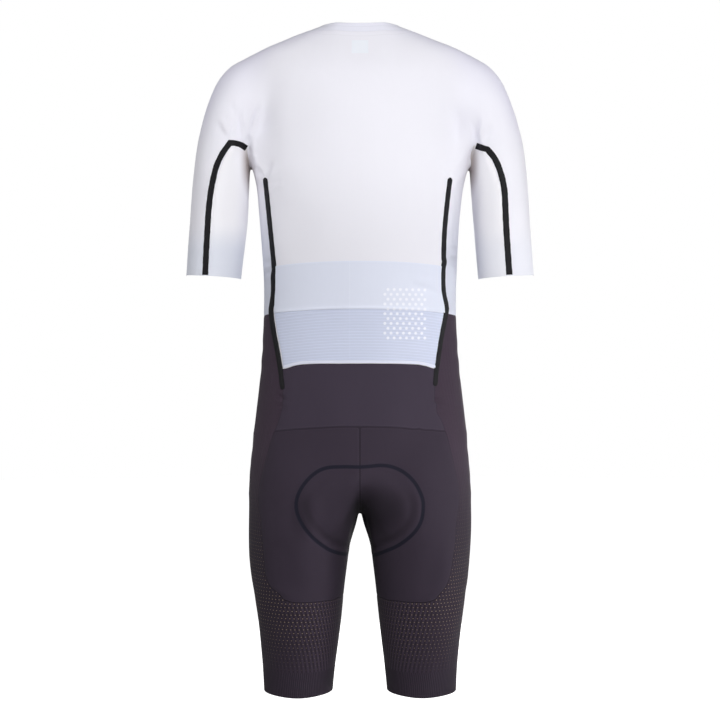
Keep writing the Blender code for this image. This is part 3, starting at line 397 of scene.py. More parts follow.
# Soft troughs (depth over 0) and ridges as seen from each side, in millimetres: width, depth and path
CREASES = {
    "back": (
        # Above the left armhole, down to the tape
        (3, 1.05, (-152, -106), (-159, -126), (-166, -150)),
        (2.6, -0.9, (-160, -112), (-166, -134), (-170, -158)),
        (2.6, 1.35, (-172, -136), (-167, -158), (-164, -180), (-157, -206)),
        (3, 1.2, (-183, -112), (-179, -136), (-175, -160)),
        (3, 0.9, (-193, -100), (-190, -114), (-188, -128)),
        (2.8, -1.35, (-209, -126), (-203, -140), (-196, -156)),
        (2.8, 1.2, (-214, -132), (-208, -146), (-200, -158)),
        (2.6, 0.9, (-187, -126), (-191, -142), (-195, -157)),
        # Above the right armhole
        (3, 1.05, (178, -126), (175, -146), (173, -164)),
        (3, -0.75, (162, -134), (166, -150), (168, -166)),
        (2.6, 1.05, (170, -168), (167, -184), (160, -204)),
        (3, 0.9, (197, -138), (191, -150), (186, -162)),
        # Fanning out from the tops of the body tapes
        (3.4, 1.2, (-163, -198), (-152, -206), (-146, -216)),
        (3.4, 1.3, (-131, -194), (-138, -206), (-142, -214)),
        (3.4, -0.9, (-124, -203), (-133, -213), (-139, -222)),
        (3.4, 1.0, (-118, -220), (-130, -226), (-138, -234)),
        (3.4, 0.9, (-158, -222), (-150, -228), (-145, -238)),
        (3.4, 0.8, (122, -202), (129, -210), (134, -218)),
        (3.4, 0.8, (148, -204), (143, -213), (140, -222)),
        # Puckers beside the pocket's top corners
        (3.5, 0.8, (131, -322), (140, -324), (150, -330)),
        (3.5, 0.7, (130, -338), (141, -341), (152, -346)),
        (3.5, -0.5, (131, -352), (140, -352), (148, -356)),
        (3.5, 0.6, (-131, -340), (-138, -344), (-147, -347)),
        (3.5, 0.6, (-131, -358), (-138, -359), (-146, -364)),
        (6, 0.5, (75, -378), (98, -384), (122, -391)),
        # Under the lower ends of the body tapes
        (2.6, 1.5, (-124, -540), (-119, -546), (-112, -549)),
        (3, 0.9, (-128, -557), (-120, -560), (-110, -561)),
        (2.6, 1.6, (108, -547), (116, -551), (127, -553)),
        (3, 1.2, (107, -560), (116, -564), (130, -570)),
        # Long soft pulls over the back and the seat
        (26, 0.8, (-96, -70), (-88, -130), (-92, -200)),
        (34, 0.7, (-30, -96), (-34, -170), (-28, -250)),
        (30, 0.7, (70, -84), (84, -150), (78, -230)),
        (20, 0.7, (-104, -250), (-90, -290), (-96, -340)),
        (24, 0.8, (-70, -520), (-76, -570), (-62, -620)),
        (26, 0.8, (92, -520), (84, -570), (96, -630)),
        (18, 0.7, (-118, -760), (-108, -800), (-104, -850)),
        (18, 0.7, (112, -770), (104, -810), (98, -850)),
        # The sleeves
        (14, 0.7, (-250, -190), (-244, -250), (-250, -310)),
        (12, 0.6, (-200, -200), (-196, -260), (-194, -330)),
        (14, 0.7, (246, -196), (240, -260), (246, -320)),
        (12, 0.5, (196, -210), (192, -270), (190, -330)),
    ),
    "front": (
        # Armholes, waist and crotch
        (5, 0.9, (-152, -104), (-160, -130), (-168, -154)),
        (5, 0.8, (-186, -118), (-180, -138), (-174, -158)),
        (5, 0.9, (154, -108), (162, -132), (168, -156)),
        (5, 0.7, (188, -120), (181, -140), (175, -158)),
        (7, 0.9, (-118, -196), (-128, -214), (-134, -236)),
        (7, 0.8, (120, -200), (128, -218), (132, -240)),
        (8, 1.0, (-92, -392), (-62, -402), (-24, -400)),
        (8, 0.9, (26, -406), (60, -404), (96, -394)),
        (9, 0.9, (-110, -440), (-70, -452), (-30, -450)),
        (9, 0.9, (34, -452), (74, -456), (112, -444)),
        (8, 1.2, (-14, -690), (-40, -672), (-76, -662)),
        (8, 1.2, (14, -692), (42, -676), (78, -668)),
        (8, 1.0, (-22, -716), (-50, -704), (-84, -702)),
        (8, 1.0, (24, -718), (52, -708), (86, -706)),
        (28, 0.8, (-60, -120), (-66, -200), (-58, -280)),
        (28, 0.8, (64, -130), (70, -210), (60, -290)),
    ),
    "left": (
        (9, 0.3, (-40, -470), (-14, -476), (16, -470)),
        (10, 0.3, (-46, -500), (-14, -508), (24, -502)),
        (20, 0.5, (-20, -640), (-14, -700), (-22, -780)),
        (14, 0.4, (8, -150), (2, -200), (6, -260)),
    ),
    "right": (
        (9, 0.3, (-42, -474), (-12, -480), (18, -476)),
        (10, 0.3, (-44, -506), (-12, -512), (22, -508)),
        (20, 0.5, (-18, -650), (-12, -710), (-20, -790)),
        (14, 0.4, (10, -150), (4, -200), (8, -260)),
    ),
}

# A crease's raised lip: its height as a share of the depth, and how many widths aside it lies
LIP_SHARE, LIP_PLACE = 0.45, 1.8
CREASE_REACH = 3.2  # how many widths aside a crease still shows
CREASE_TAPER = 0.7  # under 1: a crease's ends are blunter than a sine's
SIDE_TURN = 2.2  # how soon a side's creases are whole where the cloth turns towards it


def path_place(flat, path):
    """How far points lie to the side of a path, signed, and how far along it, from 0 to 1."""
    starts = run_along(path)
    best = np.full(len(flat), np.inf)
    side, along = np.zeros(len(flat)), np.zeros(len(flat))
    for k, length in enumerate(np.linalg.norm(np.diff(path, axis=0), axis=1)):
        line = (path[k + 1] - path[k]) / length
        gap = flat - path[k]
        reach = np.clip(gap @ line, 0, length)
        distance = np.linalg.norm(gap - reach[:, None] * line, axis=1)
        cross = line[0] * gap[:, 1] - line[1] * gap[:, 0]
        nearer = distance < best
        best[nearer] = distance[nearer]
        side[nearer] = (np.sign(cross) * distance)[nearer]
        along[nearer] = ((starts[k] + reach) / starts[-1])[nearer]
    return side, along


def crease_relief(points, normals, depth_scale):
    """The height of the creases at each point, in metres."""
    height = np.zeros(len(points))
    for side, (way, place) in VIEWS.items():
        facing = ease((normals @ np.array(way, float)) * SIDE_TURN)
        flat = place(points)
        for width, depth, *path in CREASES[side]:
            path = np.array(path) * MM
            reach = width * MM * CREASE_REACH
            near = np.all((flat > path.min(0) - reach) & (flat < path.max(0) + reach), axis=1) & (facing > 0)
            off, along = path_place(flat[near], path)
            off /= width * MM
            shape = LIP_SHARE * bell(off, 1, LIP_PLACE) - bell(off, 1)
            taper = np.sin(np.pi * along) ** CREASE_TAPER
            height[near] += shape * taper * facing[near] * depth * MM * depth_scale
    return height


# Long shallow waves that keep wide panels from looking moulded: direction, length in mm, phase, height in mm
WAVES = (
    ((1.0, 0.3, 0.25), 118, 0.4, 0.3),
    ((0.35, 0.8, -1.0), 96, 2.1, 0.22),
    ((-0.8, 0.5, 0.6), 71, 4.0, 0.18),
    ((0.2, -0.4, 1.0), 154, 1.3, 0.3),
)


def wave_relief(points):
    """The height of the long waves at each point, in metres."""
    height = np.zeros(len(points))
    for way, length, phase, rise in WAVES:
        way = np.array(way) / np.linalg.norm(way)
        height += rise * MM * np.sin(2 * np.pi * (points @ way) / (length * MM) + phase)
    return height


# The pad's outline, in millimetres seen from the back; the front's is narrower
PAD_OUTLINE = (
    (-1, -651), (-29, -650.7), (-53, -653), (-71, -663), (-87, -681), (-95.4, -701), (-94.5, -719.5),
    (-85.3, -739.5), (-69.3, -758.5), (-49, -773.6), (-33, -780), (-16, -782), (18, -783.5), (39, -776.8),
    (59.3, -767.6), (79.5, -751.5), (91.3, -733.5), (94.8, -713.4), (93.5, -697.4), (83.4, -676.2),
    (67.4, -660), (49.2, -651), (31, -648.5), (15, -650),
)
PAD_FRONT_WIDTH = 0.62
PAD_HIGHEST, PAD_LOWEST = -0.6, -0.85  # the pad is looked for between these heights
PAD_FAR = 0.1  # the distance that points far from the pad are given
PAD_STEPS = ((-2, 9, 1.6), (14, 16, 3.2))  # how far inside each step starts, its width and its rise, in mm
PAD_GROOVE, PAD_GROOVE_WIDTH = 0.8 * MM, 2.6 * MM  # the bonded line presses the cloth in
PAD_ARC, PAD_ARC_WIDTH, PAD_ARC_INSIDE = 2.2 * MM, 4.5 * MM, 13 * MM  # the trough between the steps, low down
PAD_ARC_TOP, PAD_ARC_FADE = -0.73, 0.02
PAD_FRONT_SHARE = 0.15  # how much of the relief is left in front
PAD_BACK, PAD_BACK_FADE = 25 * MM, 35 * MM  # from this far behind the middle on it starts to be whole
VALLEY_DEPTH, VALLEY_WIDTH, VALLEY_ACROSS = 7 * MM, 15 * MM, 4 * MM
VALLEY_TOP, VALLEY_TOP_FADE, VALLEY_FOOT, VALLEY_FOOT_FADE = -0.64, 0.05, -0.745, 0.03
VALLEY_INSIDE = 6 * MM


def pad_distance(points):
    """How far inside the pad's outline each point lies, under 0 outside it, in metres."""
    outline = smooth_run(PAD_OUTLINE + PAD_OUTLINE[:1], 6)[:-1] * MM
    result = np.full(len(points), -PAD_FAR)
    flat = back_view(points)
    for front in (False, True):
        seen = flat.copy()
        if front:
            seen[:, 0] /= PAD_FRONT_WIDTH
        near = (flat[:, 1] < PAD_HIGHEST) & (flat[:, 1] > PAD_LOWEST) & ((points[:, 1] > 0) == front)
        near_points = seen[near]
        inside = np.zeros(len(near_points), bool)
        distance = np.full(len(near_points), np.inf)
        for start, end in zip(outline, np.roll(outline, -1, axis=0)):
            crosses = (start[1] > near_points[:, 1]) != (end[1] > near_points[:, 1])
            rise = np.where(end[1] == start[1], TINY, end[1] - start[1])
            at = start[0] + (near_points[:, 1] - start[1]) / rise * (end[0] - start[0])
            inside ^= crosses & (near_points[:, 0] < at)
            distance = np.minimum(distance, segment_distance(near_points, start, end))
        result[near] = np.where(inside, distance, -distance)
    return result


def pad_relief(points, inside):
    """The pad's fullness under the seat: two steps, the bonded line round it and the valley in its middle."""
    x, y, z = points.T
    height = np.zeros(len(points))
    for start, width, rise in PAD_STEPS:
        height += rise * MM * ease((inside - start * MM) / (width * MM))
    height -= PAD_GROOVE * bell(inside, PAD_GROOVE_WIDTH)
    height -= PAD_ARC * bell(inside, PAD_ARC_WIDTH, PAD_ARC_INSIDE) * ease((PAD_ARC_TOP - z) / PAD_ARC_FADE)
    height *= PAD_FRONT_SHARE + (1 - PAD_FRONT_SHARE) * ease((-y - PAD_BACK) / PAD_BACK_FADE)
    valley = bell(x, VALLEY_WIDTH, VALLEY_ACROSS) * ease((VALLEY_TOP - z) / VALLEY_TOP_FADE)
    valley = valley * ease((z - VALLEY_FOOT) / VALLEY_FOOT_FADE)
    return height - VALLEY_DEPTH * valley * behind(y) * ease(inside / VALLEY_INSIDE)


# Small corrections of the surface, in millimetres. Each pair of rows reads: at these places, this much.
SHOULDER_AT = (0, 36, 50, 60, 80, 110, 140, 165)  # out from the middle: the shoulders lie lower
SHOULDER_DROP = (1.5, 2, 4.5, 5.5, 4.4, 3.6, 2, 0)
SLEEVE_HEAD_AT = (-165, -145, -120, -95, -72, -62, -55, -50)  # up: the tops of the sleeves are narrower
SLEEVE_HEAD_IN = (0, 1.2, 2, 2.6, 3, 2.8, 1.2, 0)
ARMHOLE_AT = (-190, -175, -160, -140, -120, -100, -60)  # up: the hollow beside each armhole is fuller
ARMHOLE_FILL = (0, 4, 7, 8, 6, 3.5, 0)
HIP_AT = (-690, -670, -646, -622, -600)  # up: the hips are narrower by a share of their width
HIP_SHARE = (0, 0.013, 0.024, 0.02, 0)
CUFF_OUT = (175, 185, 220, 240, 256)  # out from the middle: the cuffs' backs hang lower
CUFF_DROP = (1, 1.5, 3, 4.3, 4.5)
EDGE_AT = (0, 30, 62, 85, 97, 108)  # out from the middle: the white back's lower edge is less bowed
EDGE_LIFT = (0, 0.4, 1.8, 2.8, 2.0, 0)

SHOULDER_FOOT, SHOULDER_FADE = -0.09, 0.05  # the shoulders' drop starts here
CUFF_RISE, CUFF_REACH = 4.5 * MM, 60 * MM  # the cuffs' front edges lie a little higher
CUFF_FRONT, CUFF_FRONT_FADE = -10 * MM, 50 * MM
CUFF_HEIGHT, SLEEVE_START, SLEEVE_FADE = -0.372, 0.17, 30 * MM
ARMHOLE_OUT, ARMHOLE_LEAN, ARMHOLE_TOP, ARMHOLE_WIDTH = 150 * MM, 0.12, -0.1, 17 * MM
ARMHOLE_CALM, ARMHOLE_FADE = 15 * MM, 25 * MM  # its middle, seen from the side, isn't filled
ARMPIT_OUT, ARMPIT_OUT_WIDTH = 163 * MM, 12 * MM
ARMPIT_HEIGHT, ARMPIT_UP_WIDTH, ARMPIT_RISE = -0.208, 26 * MM, 9 * MM
CROTCH_RISE, CROTCH_WIDTH = 5 * MM, 20 * MM
CROTCH_TOP, CROTCH_TOP_FADE, CROTCH_FOOT, CROTCH_FOOT_FADE = -0.69, 0.03, -0.81, 0.06
EDGE_HEIGHT, EDGE_REACH = -0.502, 22 * MM
# The leg hems' backs hang a little lower
HEM_SAG, HEM_TOP, HEM_FADE, HEM_WIDTH = 2.5 * MM, -0.935, 0.04, 30 * MM


def edge_lift(points):
    """How much higher the white back's lower edge lies at each point."""
    return np.interp(np.abs(points[:, 0]) / MM, EDGE_AT, EDGE_LIFT) * MM


def settled(points):
    """The surface with its small corrections at the shoulders, armpits, hips, cuffs, crotch and leg hems."""
    x, y, z = points.T
    out = np.abs(x)
    narrower = np.interp(z / MM, HIP_AT, HIP_SHARE) * out
    head = np.interp(z / MM, SLEEVE_HEAD_AT, SLEEVE_HEAD_IN) * MM
    narrower += head * ease((out - SLEEVE_START) / SLEEVE_FADE)
    fill = np.interp(z / MM, ARMHOLE_AT, ARMHOLE_FILL) * MM
    fill *= bell(out, ARMHOLE_WIDTH, ARMHOLE_OUT - ARMHOLE_LEAN * (z - ARMHOLE_TOP))
    fill *= ease((np.abs(y) - ARMHOLE_CALM) / ARMHOLE_FADE) * np.sign(y)
    rise = -np.interp(out / MM, SHOULDER_AT, SHOULDER_DROP) * MM * ease((z - SHOULDER_FOOT) / SHOULDER_FADE)
    front = ease((y - CUFF_FRONT) / CUFF_FRONT_FADE)
    drop = np.interp(out / MM, CUFF_OUT, CUFF_DROP) * MM
    cuff = CUFF_RISE * front - drop * (1 - front)
    rise += cuff * ease(1 - (z - CUFF_HEIGHT) / CUFF_REACH) * (out > SLEEVE_START)
    rise += ARMPIT_RISE * bell(out, ARMPIT_OUT_WIDTH, ARMPIT_OUT) * bell(z, ARMPIT_UP_WIDTH, ARMPIT_HEIGHT)
    crotch = ease((CROTCH_TOP - z) / CROTCH_TOP_FADE) * ease((z - CROTCH_FOOT) / CROTCH_FOOT_FADE)
    rise += CROTCH_RISE * bell(x, CROTCH_WIDTH) * crotch
    rise += edge_lift(points) * bell(z, EDGE_REACH, EDGE_HEIGHT) * behind(y)
    rise -= HEM_SAG * behind(y) * bell(out, HEM_WIDTH, LEG_MIDDLE) * ease((HEM_TOP - z) / HEM_FADE)
    return np.stack([x - narrower * np.sign(x), y + fill, z + rise], -1)


ZIP_CLEAR, ZIP_FADE, ZIP_FOOT = 5 * MM, 20 * MM, -0.44  # the fronts are plain this near to the zip
NECK_CALM, NECK_SHARE = 40 * MM, 0.15  # this near to the collar's seam, only this share of the relief is left
SEAM_DEPTH, SEAM_WIDTH = 0.45 * MM, 1.9 * MM
NECK_TURN = 8.5 * MM  # how far below the collar's seam its turned edge is stitched down

Cloth = namedtuple("Cloth", "points normals quads panels tree pad neck base moves flush")


@cache
def cloth():
    """The whole garment's outer surface, sewn together, with its creases. It is made once."""
    net = quad_net([outer_skin(panel.node) for panel in PANELS], SEAM_REACH)
    points, quads, panels = smooth(*net, levels=3)
    points = settled(points)
    normals = point_normals(points, quads)
    edges, low, high, _ = shared_edges(quads, panels)
    hems = [NUMBER[panel.node] for panel in HEM_PANELS]
    sides = [NUMBER["side_panel_left"], NUMBER["side_panel_right"]]
    flush = np.isin(high, hems) | (low == NUMBER["back"]) & np.isin(high, sides)
    seam = line_distance(points, edges[(low != high) & ~flush])
    flush = {tuple(edge) for edge in edges[flush & (low != high)].tolist()}
    collar = (low == NUMBER["collar"]) | (high == NUMBER["collar"])
    neck = line_distance(points, edges[(low != high) & collar])
    pad = pad_distance(points)
    crease_depth = bpy.context.scene.skinsuit_sizes.crease_depth
    height = crease_relief(points, normals, crease_depth) + wave_relief(points) + pad_relief(points, pad)
    height *= ease(neck / NECK_CALM) * (1 - NECK_SHARE) + NECK_SHARE
    beside_zip = ease((np.abs(points[:, 0]) - ZIP_CLEAR) / ZIP_FADE)
    height *= np.where((points[:, 1] > 0) & (points[:, 2] > ZIP_FOOT), beside_zip, 1)
    height -= SEAM_DEPTH * bell(seam, SEAM_WIDTH)
    base = search_tree(points)
    moves = normals * height[:, None]
    points = points + moves
    normals = point_normals(points, quads)
    tree = BVHTree.FromPolygons(points.tolist(), quads.tolist())
    return Cloth(points, normals, quads, panels, tree, pad, neck, base, moves, flush)


# ---------------------------------------------------------------- pieces from arrays


def new_piece(name, points, quads, sharp=None, numbers=None, uv=None):
    """A mesh object from arrays, smooth but for its sharp edges, with its point attributes and UV map."""
    data = bpy.data.meshes.new(name)
    data.from_pydata(points.tolist(), [], quads.tolist())
    data.update(calc_edges=True)
    data.polygons.foreach_set("use_smooth", [True] * len(data.polygons))
    if sharp is not None and len(sharp):
        size = len(points)
        edges = np.sort(read(data.edges, "vertices", 2, int), 1)
        wanted = np.sort(sharp, 1)
        is_sharp = np.isin(edges[:, 0] * size + edges[:, 1], wanted[:, 0] * size + wanted[:, 1])
        data.attributes.new("sharp_edge", "BOOLEAN", "EDGE").data.foreach_set("value", is_sharp)
    for title, values in (numbers or {}).items():
        data.attributes.new(title, "FLOAT", "POINT").data.foreach_set("value", values.astype(np.float32))
    if uv is not None:
        layer = data.uv_layers.new(name="cloth")
        layer.data.foreach_set("uv", uv.astype(np.float32).ravel())
    piece = bpy.data.objects.new(name, data)
    bpy.context.collection.objects.link(piece)
    return piece


def walled(points, normals, quads, thickness):
    """Gives a skin its thickness: points, quads and the sharp edges of the closed wall."""
    size = len(points)
    inner = points - normals * thickness
    border = {tuple(edge) for edge in border_edges(quads)}
    loops = np.stack([quads, np.roll(quads, -1, 1)], -1).reshape(-1, 2)
    rim = np.array([edge for edge in loops.tolist() if tuple(sorted(edge)) in border])
    rim_quads = np.stack([rim[:, 1], rim[:, 0], rim[:, 0] + size, rim[:, 1] + size], -1)
    all_quads = np.concatenate([quads, quads[:, ::-1] + size, rim_quads])
    return np.concatenate([points, inner]), all_quads, np.concatenate([rim, rim + size])


def sew_on(piece, panel):
    """Gives a piece of cloth its finish, sets it on the garment's body and hides the node that it stands for."""
    piece.data.materials.append(finish(panel.slot))
    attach(piece, GARMENT)
    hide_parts(panel.node)


def make_panel(panel):
    """One panel of the garment, cut out of the cloth."""
    whole = cloth()
    quads = whole.quads[whole.panels == NUMBER[panel.node]]
    used, quads = np.unique(quads, return_inverse=True)
    quads = quads.reshape(-1, 4)
    points, normals = whole.points[used], whole.normals[used]
    border = np.array([edge for edge in border_edges(quads) if tuple(used[edge]) not in whole.flush])
    numbers = {"edge": line_distance(points, border), "pad": whole.pad[used], "neck": whole.neck[used]}
    numbers = {title: np.tile(values, 2) for title, values in numbers.items()}
    around = np.tile(leg_wrap(panel.node, points), 2) if panel in DOTTED_PANELS + HEM_PANELS else None
    thickness = bpy.context.scene.skinsuit_sizes.cloth_thickness
    points, all_quads, sharp = walled(points, normals, quads, thickness)
    uv = None if around is None else wrap_uv(around, points, all_quads)
    sew_on(new_piece(panel.piece, points, all_quads, sharp, numbers, uv), panel)


# ---------------------------------------------------------------- the knit's run round a leg

WRAP_ROWS, WRAP_RAYS = 48, 96
WRAP_TOP, WRAP_FOOT = -0.4, -0.99
LEG_LOWEST = -0.975
# The most that a leg's radius may be, and what it is where a ray meets nothing
LEG_WIDEST, LEG_USUAL = 0.12, 0.08
TORN_OVER = 0.15  # a face that seems wider than this lies across the leg's inner side


@cache
def leg_table(side):
    """How far round a leg each direction lies from the leg's outer side, at many heights."""
    turns = np.linspace(-np.pi, np.pi, WRAP_RAYS + 1)
    table = np.zeros((WRAP_ROWS, WRAP_RAYS + 1))
    for row, height in enumerate(np.linspace(WRAP_TOP, WRAP_FOOT, WRAP_ROWS)):
        centre = Vector((side * LEG_MIDDLE, 0, max(height, LEG_LOWEST)))
        radii = []
        for turn in turns:
            hit = cloth().tree.ray_cast(centre, Vector((side * math.cos(turn), math.sin(turn), 0)))
            radii.append(min(hit[3], LEG_WIDEST) if hit[0] is not None else LEG_USUAL)
        run = run_along(np.stack([np.array(radii) * np.cos(turns), np.array(radii) * np.sin(turns)], -1))
        table[row] = run - run[WRAP_RAYS // 2]
    return table


def leg_wrap(node, points):
    """How far round its leg each point lies from the leg's outer side, in metres."""
    side = -1 if node.endswith("left") else 1
    table = leg_table(side)
    turn = np.arctan2(points[:, 1], side * (points[:, 0] - side * LEG_MIDDLE))
    column = np.clip((turn + np.pi) / (2 * np.pi) * WRAP_RAYS, 0, WRAP_RAYS - 1e-6)
    row = np.clip((points[:, 2] - WRAP_TOP) / (WRAP_FOOT - WRAP_TOP) * (WRAP_ROWS - 1), 0, WRAP_ROWS - 1.000001)
    r, c = row.astype(int), column.astype(int)
    fr, fc = row - r, column - c
    upper = table[r, c] * (1 - fc) + table[r, c + 1] * fc
    lower = table[r + 1, c] * (1 - fc) + table[r + 1, c + 1] * fc
    return upper * (1 - fr) + lower * fr


def wrap_uv(around, points, quads):
    """The run round the leg and the height at each face's corners, with no face torn across the inner side."""
    corners = around[quads]
    spread = corners.max(1) - corners.min(1)
    girth = np.where(spread > TORN_OVER, spread, 0)
    corners = np.where((corners < 0) & (girth[:, None] > 0), corners + girth[:, None], corners)
    return np.stack([corners, points[quads][..., 2]], -1)


# ---------------------------------------------------------------- layers on the cloth

FOLLOW_SOFTNESS = 0.1 * MM
LAYER_LEVELS = 4
EDGE_THINNER, EDGE_SOFTNESS = 0.35, 0.7 * MM  # a layer is thinner by this share at its edge
INNER_SHARE = 0.9  # how much of its thickness its wall has, before its edge thins


def laid(points, hints, lift):
    """Moves points to lie a given height above the cloth, on the side that their hints point to."""
    placed = []
    for point, hint, rise in zip(points, hints, lift):
        spot, way, _, _ = cloth().tree.find_nearest(Vector(point))
        if way.dot(Vector(hint)) < 0:
            way = Vector(hint)
        placed.append(spot + way * rise)
    return np.array(placed)


def follow(points):
    """How the cloth moved at points that lie near it, when its creases were made."""
    whole = cloth()
    moves = np.empty_like(points)
    for number, point in enumerate(points):
        near = whole.base.find_n(point, 4)
        share = np.array([1 / (hit[2] + FOLLOW_SOFTNESS) for hit in near])
        moves[number] = (whole.moves[[hit[1] for hit in near]] * share[:, None]).sum(0) / share.sum()
    return moves


def make_layer(layer, relief=None, reshape=None):
    """A piece bonded or sewn on the cloth: its node's outer skin, made smooth and laid on the creased cloth."""
    net = quad_net([outer_skin(layer.node)])
    points, quads, _ = smooth(*net, levels=LAYER_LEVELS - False)
    if reshape:
        points = reshape(points)
    edge = line_distance(points, border_edges(quads))
    thinner = EDGE_THINNER * np.exp(-edge / EDGE_SOFTNESS)
    lift = (layer.lift + layer.thickness * (1 - thinner)) * MM
    if relief:
        lift = lift + relief(points, edge)
    points = laid(points, point_normals(points, quads), lift)
    thickness = layer.thickness * (INNER_SHARE - thinner)[:, None] * MM
    points, all_quads, sharp = walled(points, point_normals(points, quads), quads, thickness)
    sew_on(new_piece(layer.piece, points, all_quads, sharp, {"edge": np.tile(edge, 2)}), layer)


TAPE_STEP = 2.5  # in millimetres, as a tape's path
TAPE_JUMP = 14 * MM  # a step as long as this leaves the side that the tape lies on
TAPE_RIPPLES = ((0.03, 0.31, 0), (0.02, 0.83, 1))  # share of the width, turn per millimetre, phase
TAPE_ACROSS = (-1, -0.93, -0.8, -0.45, 0, 0.45, 0.8, 0.93, 1)  # where the points lie across a tape
TAPE_TOP, TAPE_BOTTOM, TAPE_ROUND = 0.85 * MM, 0.1 * MM, 0.9
TAPE_END, TAPE_MITRE = 0.09, 0.6  # the least of a round end's width, squared, and of a corner's slope
OUTSIDE, SIDE_STEP = 0.1, 2 * MM  # past this far out, a missing point is sought further round the side
OVER_POCKET = 0.8 * MM  # how much higher a tape lies where it covers the pocket's side edges
POCKET_MOUTH, POCKET_FOOT, POCKET_STEP = -0.345, -0.505, 8 * MM


def tape_line(tape):
    """A tape's middle line as even steps, with room left for the corners, and its side direction."""
    runs = [smooth_run(run, TAPE_STEP) for run in tape.runs]
    line = runs[0]
    for run in runs[1:]:
        line = np.concatenate([line[:-2], run[:1], run[2:]])
    ahead = np.diff(line, axis=0)
    ahead /= np.linalg.norm(ahead, axis=1, keepdims=True)
    before, after = np.concatenate([ahead[:1], ahead]), np.concatenate([ahead, ahead[-1:]])
    way = before + after
    way /= np.linalg.norm(way, axis=1, keepdims=True)
    mitre = 1 / np.maximum(np.sum(way * after, axis=1), TAPE_MITRE)
    return line, np.stack([-way[:, 1], way[:, 0]], -1) * mitre[:, None]


def make_tape(tape):
    """A bonded tape: a strip with rounded edges that follows its path on the cloth."""
    whole = cloth()
    line, side = tape_line(tape)
    run = run_along(line)
    half = np.full(len(line), tape.width / 2)
    if tape.round_ends:
        inset = 1 - np.clip(np.minimum(run, run[-1] - run) / half, 0, 1)
        half *= np.sqrt(np.clip(1 - inset * inset, TAPE_END, 1))
    half *= 1 + sum(share * np.sin(run * rate + phase) for share, rate, phase in TAPE_RIPPLES)
    eye = Vector((0, -EYE_BACK, EYE_HEIGHT))
    hits = np.zeros((len(line), len(TAPE_ACROSS), 3))
    middle = len(TAPE_ACROSS) // 2
    for i in range(len(line)):
        for j in sorted(range(len(TAPE_ACROSS)), key=lambda j: abs(j - middle)):
            flat = (line[i] + side[i] * half[i] * TAPE_ACROSS[j]) * MM
            spot = whole.tree.ray_cast(eye, Vector((flat[0], 0, flat[1])) - eye)[0]
            if j != middle:
                known = hits[i, j + (1 if j < middle else -1)]
            else:
                known = hits[i - 1, j] if i else None
            if spot is None or (known is not None and np.linalg.norm(np.array(spot) - known) > TAPE_JUMP):
                guess = Vector(known) + Vector((0, (abs(known[0]) > OUTSIDE) * SIDE_STEP, 0))
                guess.x, guess.z = flat[0] * (1 + known[1] / EYE_BACK), known[2]
                spot = whole.tree.find_nearest(guess)[0]
            hits[i, j] = spot
    count, wide = hits.shape[:2]
    points = hits.reshape(-1, 3)
    grid = np.arange(count * wide).reshape(count, wide)
    quads = np.stack([grid[:-1, :-1], grid[:-1, 1:], grid[1:, 1:], grid[1:, :-1]], -1).reshape(-1, 4)
    normals = point_normals(points, quads)
    _, out, _, _ = whole.tree.find_nearest(Vector(points[middle]))
    if out.dot(Vector(normals[middle])) < 0:
        quads, normals = quads[:, ::-1], -normals
    across = np.tile(np.array(TAPE_ACROSS), count)
    height = points[:, 2]
    over = ease((POCKET_MOUTH - height) / POCKET_STEP) * ease((height - POCKET_FOOT) / POCKET_STEP)
    over *= tape.round_ends  # the sleeves' tapes don't cross the pocket
    top = TAPE_BOTTOM + (TAPE_TOP - TAPE_BOTTOM + OVER_POCKET * over) * np.sqrt(1 - TAPE_ROUND * across**8)
    edge = (1 - np.abs(across)) * np.repeat(half, wide) * MM
    points = points + normals * top[:, None]
    points, all_quads, _ = walled(points, normals, quads, (top - TAPE_BOTTOM)[:, None])
    sew_on(new_piece(tape.piece, points, all_quads, numbers={"edge": np.tile(edge, 2)}), tape)


@cache
def hem_line():
    """The middle line of the pocket's lower edge, as the numbers of a parabola."""
    points = np.array(outer_skin("pocket_hem")[0])
    return np.polyfit(points[:, 0], points[:, 2], 2)


HEM_SHARE, HEM_DROP = 0.46, 1.95 * MM  # the edge binding's height against its node's, and how far it lies lower
RIBS_DROP, RIBS_REACH = 4 * MM, 12 * MM  # how much longer the ribs are, and how far up that is felt


def narrow_hem(points):
    """The binding as narrow as it shows, at the foot of its node."""
    middle = np.polyval(hem_line(), points[:, 0])
    points[:, 2] = middle + (points[:, 2] - middle) * HEM_SHARE - HEM_DROP + edge_lift(points)
    return points


def lengthen_ribs(points):
    """The ribs reach down to the narrow binding."""
    above = points[:, 2] - np.polyval(hem_line(), points[:, 0]) - RIBS_DROP
    points[:, 2] -= (RIBS_DROP - edge_lift(points)) * ease(1 - above / RIBS_REACH)
    return points


POCKET_SEAM = -416 * MM  # where the band's lower fold lies in the middle of the back
POCKET_BOW = 0.55  # how much that line falls towards the sides, per metre squared
FOLD_RISE, FOLD_WIDTH = 0.7, 5  # in millimetres, as are the next two
MOUTH_RISE, MOUTH_WIDTH = 0.2, 2.5
RIB_PITCH, RIB_RISE, RIB_EDGE = 4.2 * MM, 0.16 * MM, 3 * MM


def band_fold(points, edge):
    """The pocket band's thick folded edges: the mouth, and the lower fold that stands off the ribs."""
    line = POCKET_SEAM - POCKET_BOW * points[:, 0] ** 2
    near = (points[:, 2] - line) / MM
    return (FOLD_RISE * bell(near, FOLD_WIDTH) + MOUTH_RISE * bell(edge, MOUTH_WIDTH * MM)) * MM


def rib_height(points, edge):
    """The lower pocket's fine ribs."""
    run = points[:, 2] + POCKET_BOW * points[:, 0] ** 2
    return RIB_RISE * np.cos(2 * np.pi * run / RIB_PITCH) * ease(edge / RIB_EDGE)


# ---------------------------------------------------------------- finishes

